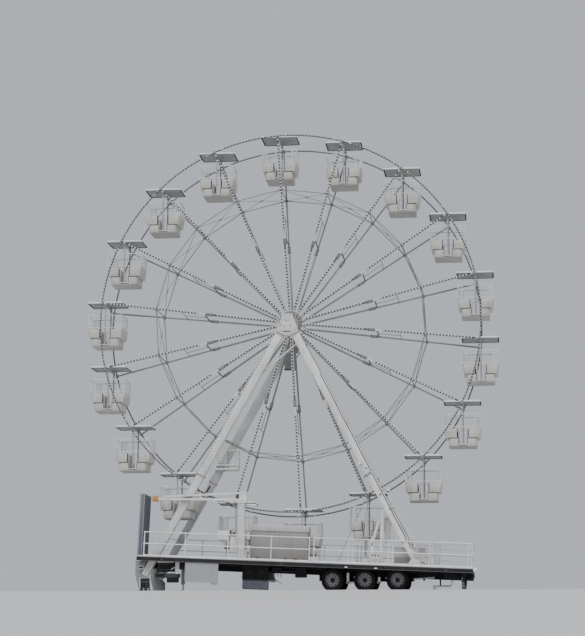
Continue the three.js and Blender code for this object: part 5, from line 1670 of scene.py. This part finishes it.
for number in range(10):
    angle = 2 * math.pi * (number + 0.5) / 10
    cutter = tube(
        hub_dark, (0.2 * math.cos(angle), 0.2 * math.sin(angle), -0.2),
        (0.2 * math.cos(angle), 0.2 * math.sin(angle), 0.1), 0.032, 14,
    )
    bpy.ops.object.select_all(action="DESELECT")
    wheel_disc.select_set(True)
    bpy.context.view_layer.objects.active = wheel_disc
    bpy.ops.object.modifier_add(type="BOOLEAN")
    cut = wheel_disc.modifiers[-1]
    cut.operation = "DIFFERENCE"
    cut.object = cutter
    bpy.ops.object.modifier_apply(modifier=cut.name)
    bpy.data.objects.remove(cutter)
    nut_angle = 2 * math.pi * number / 10
    nut = (0.142 * math.cos(nut_angle), 0.142 * math.sin(nut_angle))
    parts.append(tube(bare_steel, (*nut, -0.088), (*nut, -0.048), 0.014, 6, 0.003))
parts.append(wheel_disc)
drum_shell = turned(hub_dark, [(0.070, 0.0), (0.235, 0.0), (0.235, 0.14), (0.070, 0.14)], 40)
parts.append(drum_shell)
cap = turned(
    hub_dark,
    [
        (0.012, -0.152), (0.062, -0.152), (0.078, -0.142), (0.086, -0.118), (0.102, -0.112),
        (0.104, -0.060), (0.012, -0.060),
    ],
    32,
)
parts.append(cap)
road_wheel = join("road_wheel", parts, 35)
for face, front in (("front", -1), ("back", 1)):
    for number in range(1, 4):
        node = f"road_wheel_{face}_{number}"
        low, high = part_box(node)
        middle = (Vector(low) + Vector(high)) / 2
        face_out = Matrix.Rotation(-math.pi / 2 if front < 0 else math.pi / 2, 4, "X")
        twist = Matrix.Rotation(0.37 * number + front, 4, "Y")
        piece = copy_of(
            road_wheel, Matrix.Translation(middle) @ twist @ face_out, f"tyre_and_rim_{face}_{number}",
        )
        piece.data.name = piece.name
        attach(piece, node)
        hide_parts(node)
bpy.data.objects.remove(road_wheel)

# Suspension. Leaf springs on hanger brackets under the chassis, clamped to the axle beams
# by U bolts, with brake chambers and their levers behind each axle.
parts = [softened(chassis_black, "suspension", 0.005)]
AXLE_XS = (1.835, 3.19, 4.55)
for side in (-1, 1):
    y = side * 0.5
    for x in AXLE_XS:
        for leaf in range(4):
            reach = 0.58 - leaf * 0.11
            z = 0.566 + leaf * 0.014
            parts.append(block(
                hub_dark, (x - reach, y - 0.040, z), (x + reach, y + 0.040, z + 0.011), 0.003,
            ))
        for dx in (-0.07, 0.07):
            for dy in (-0.052, 0.052):
                parts.append(tube(bare_steel, (x + dx, y + dy, 0.385), (x + dx, y + dy, 0.65), 0.010, 8))
            parts.append(block(
                bare_steel, (x + dx - 0.016, y - 0.066, 0.622), (x + dx + 0.016, y + 0.066, 0.638), 0.003,
            ))
        parts.append(block(hub_dark, (x - 0.11, y - 0.068, 0.375), (x + 0.11, y + 0.068, 0.395), 0.004))
        chamber = Vector((x + 0.20, side * 0.72, 0.56))
        parts.append(tube(hub_dark, chamber, chamber + Vector((0, side * 0.10, 0)), 0.075, 20, 0.012))
        parts.append(tube(
            bare_steel, chamber + Vector((-0.20, side * 0.05, -0.09)),
            chamber + Vector((0, side * 0.05, 0)), 0.014, 8,
        ))
gear = join("axle_gear", parts, 30)
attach(gear, "base")
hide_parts("suspension")

# Main axle. The fixed shaft shows only between the head plates and the hub, as a turned
# steel bar with a collar at each head.
shaft = turned(
    bare_steel, [(0.02, -1.84), (0.112, -1.84), (0.118, -1.83), (0.118, 1.83), (0.112, 1.84), (0.02, 1.84)],
    40,
)
parts = [shaft]
for side in (-1, 1):
    y0, y1 = sorted((side * 1.595, side * 1.54))
    collar = turned(
        bare_steel,
        [(0.117, y0), (0.17, y0), (0.175, y0 + 0.006), (0.175, y1 - 0.006), (0.17, y1), (0.117, y1)], 40,
    )
    parts.append(collar)
axle = join("axle_shaft", parts, 30)
axle.data.transform(Matrix.Translation(hub) @ Matrix.Rotation(math.pi / 2, 4, "X"))
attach(axle, "base")
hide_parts("main_axle")
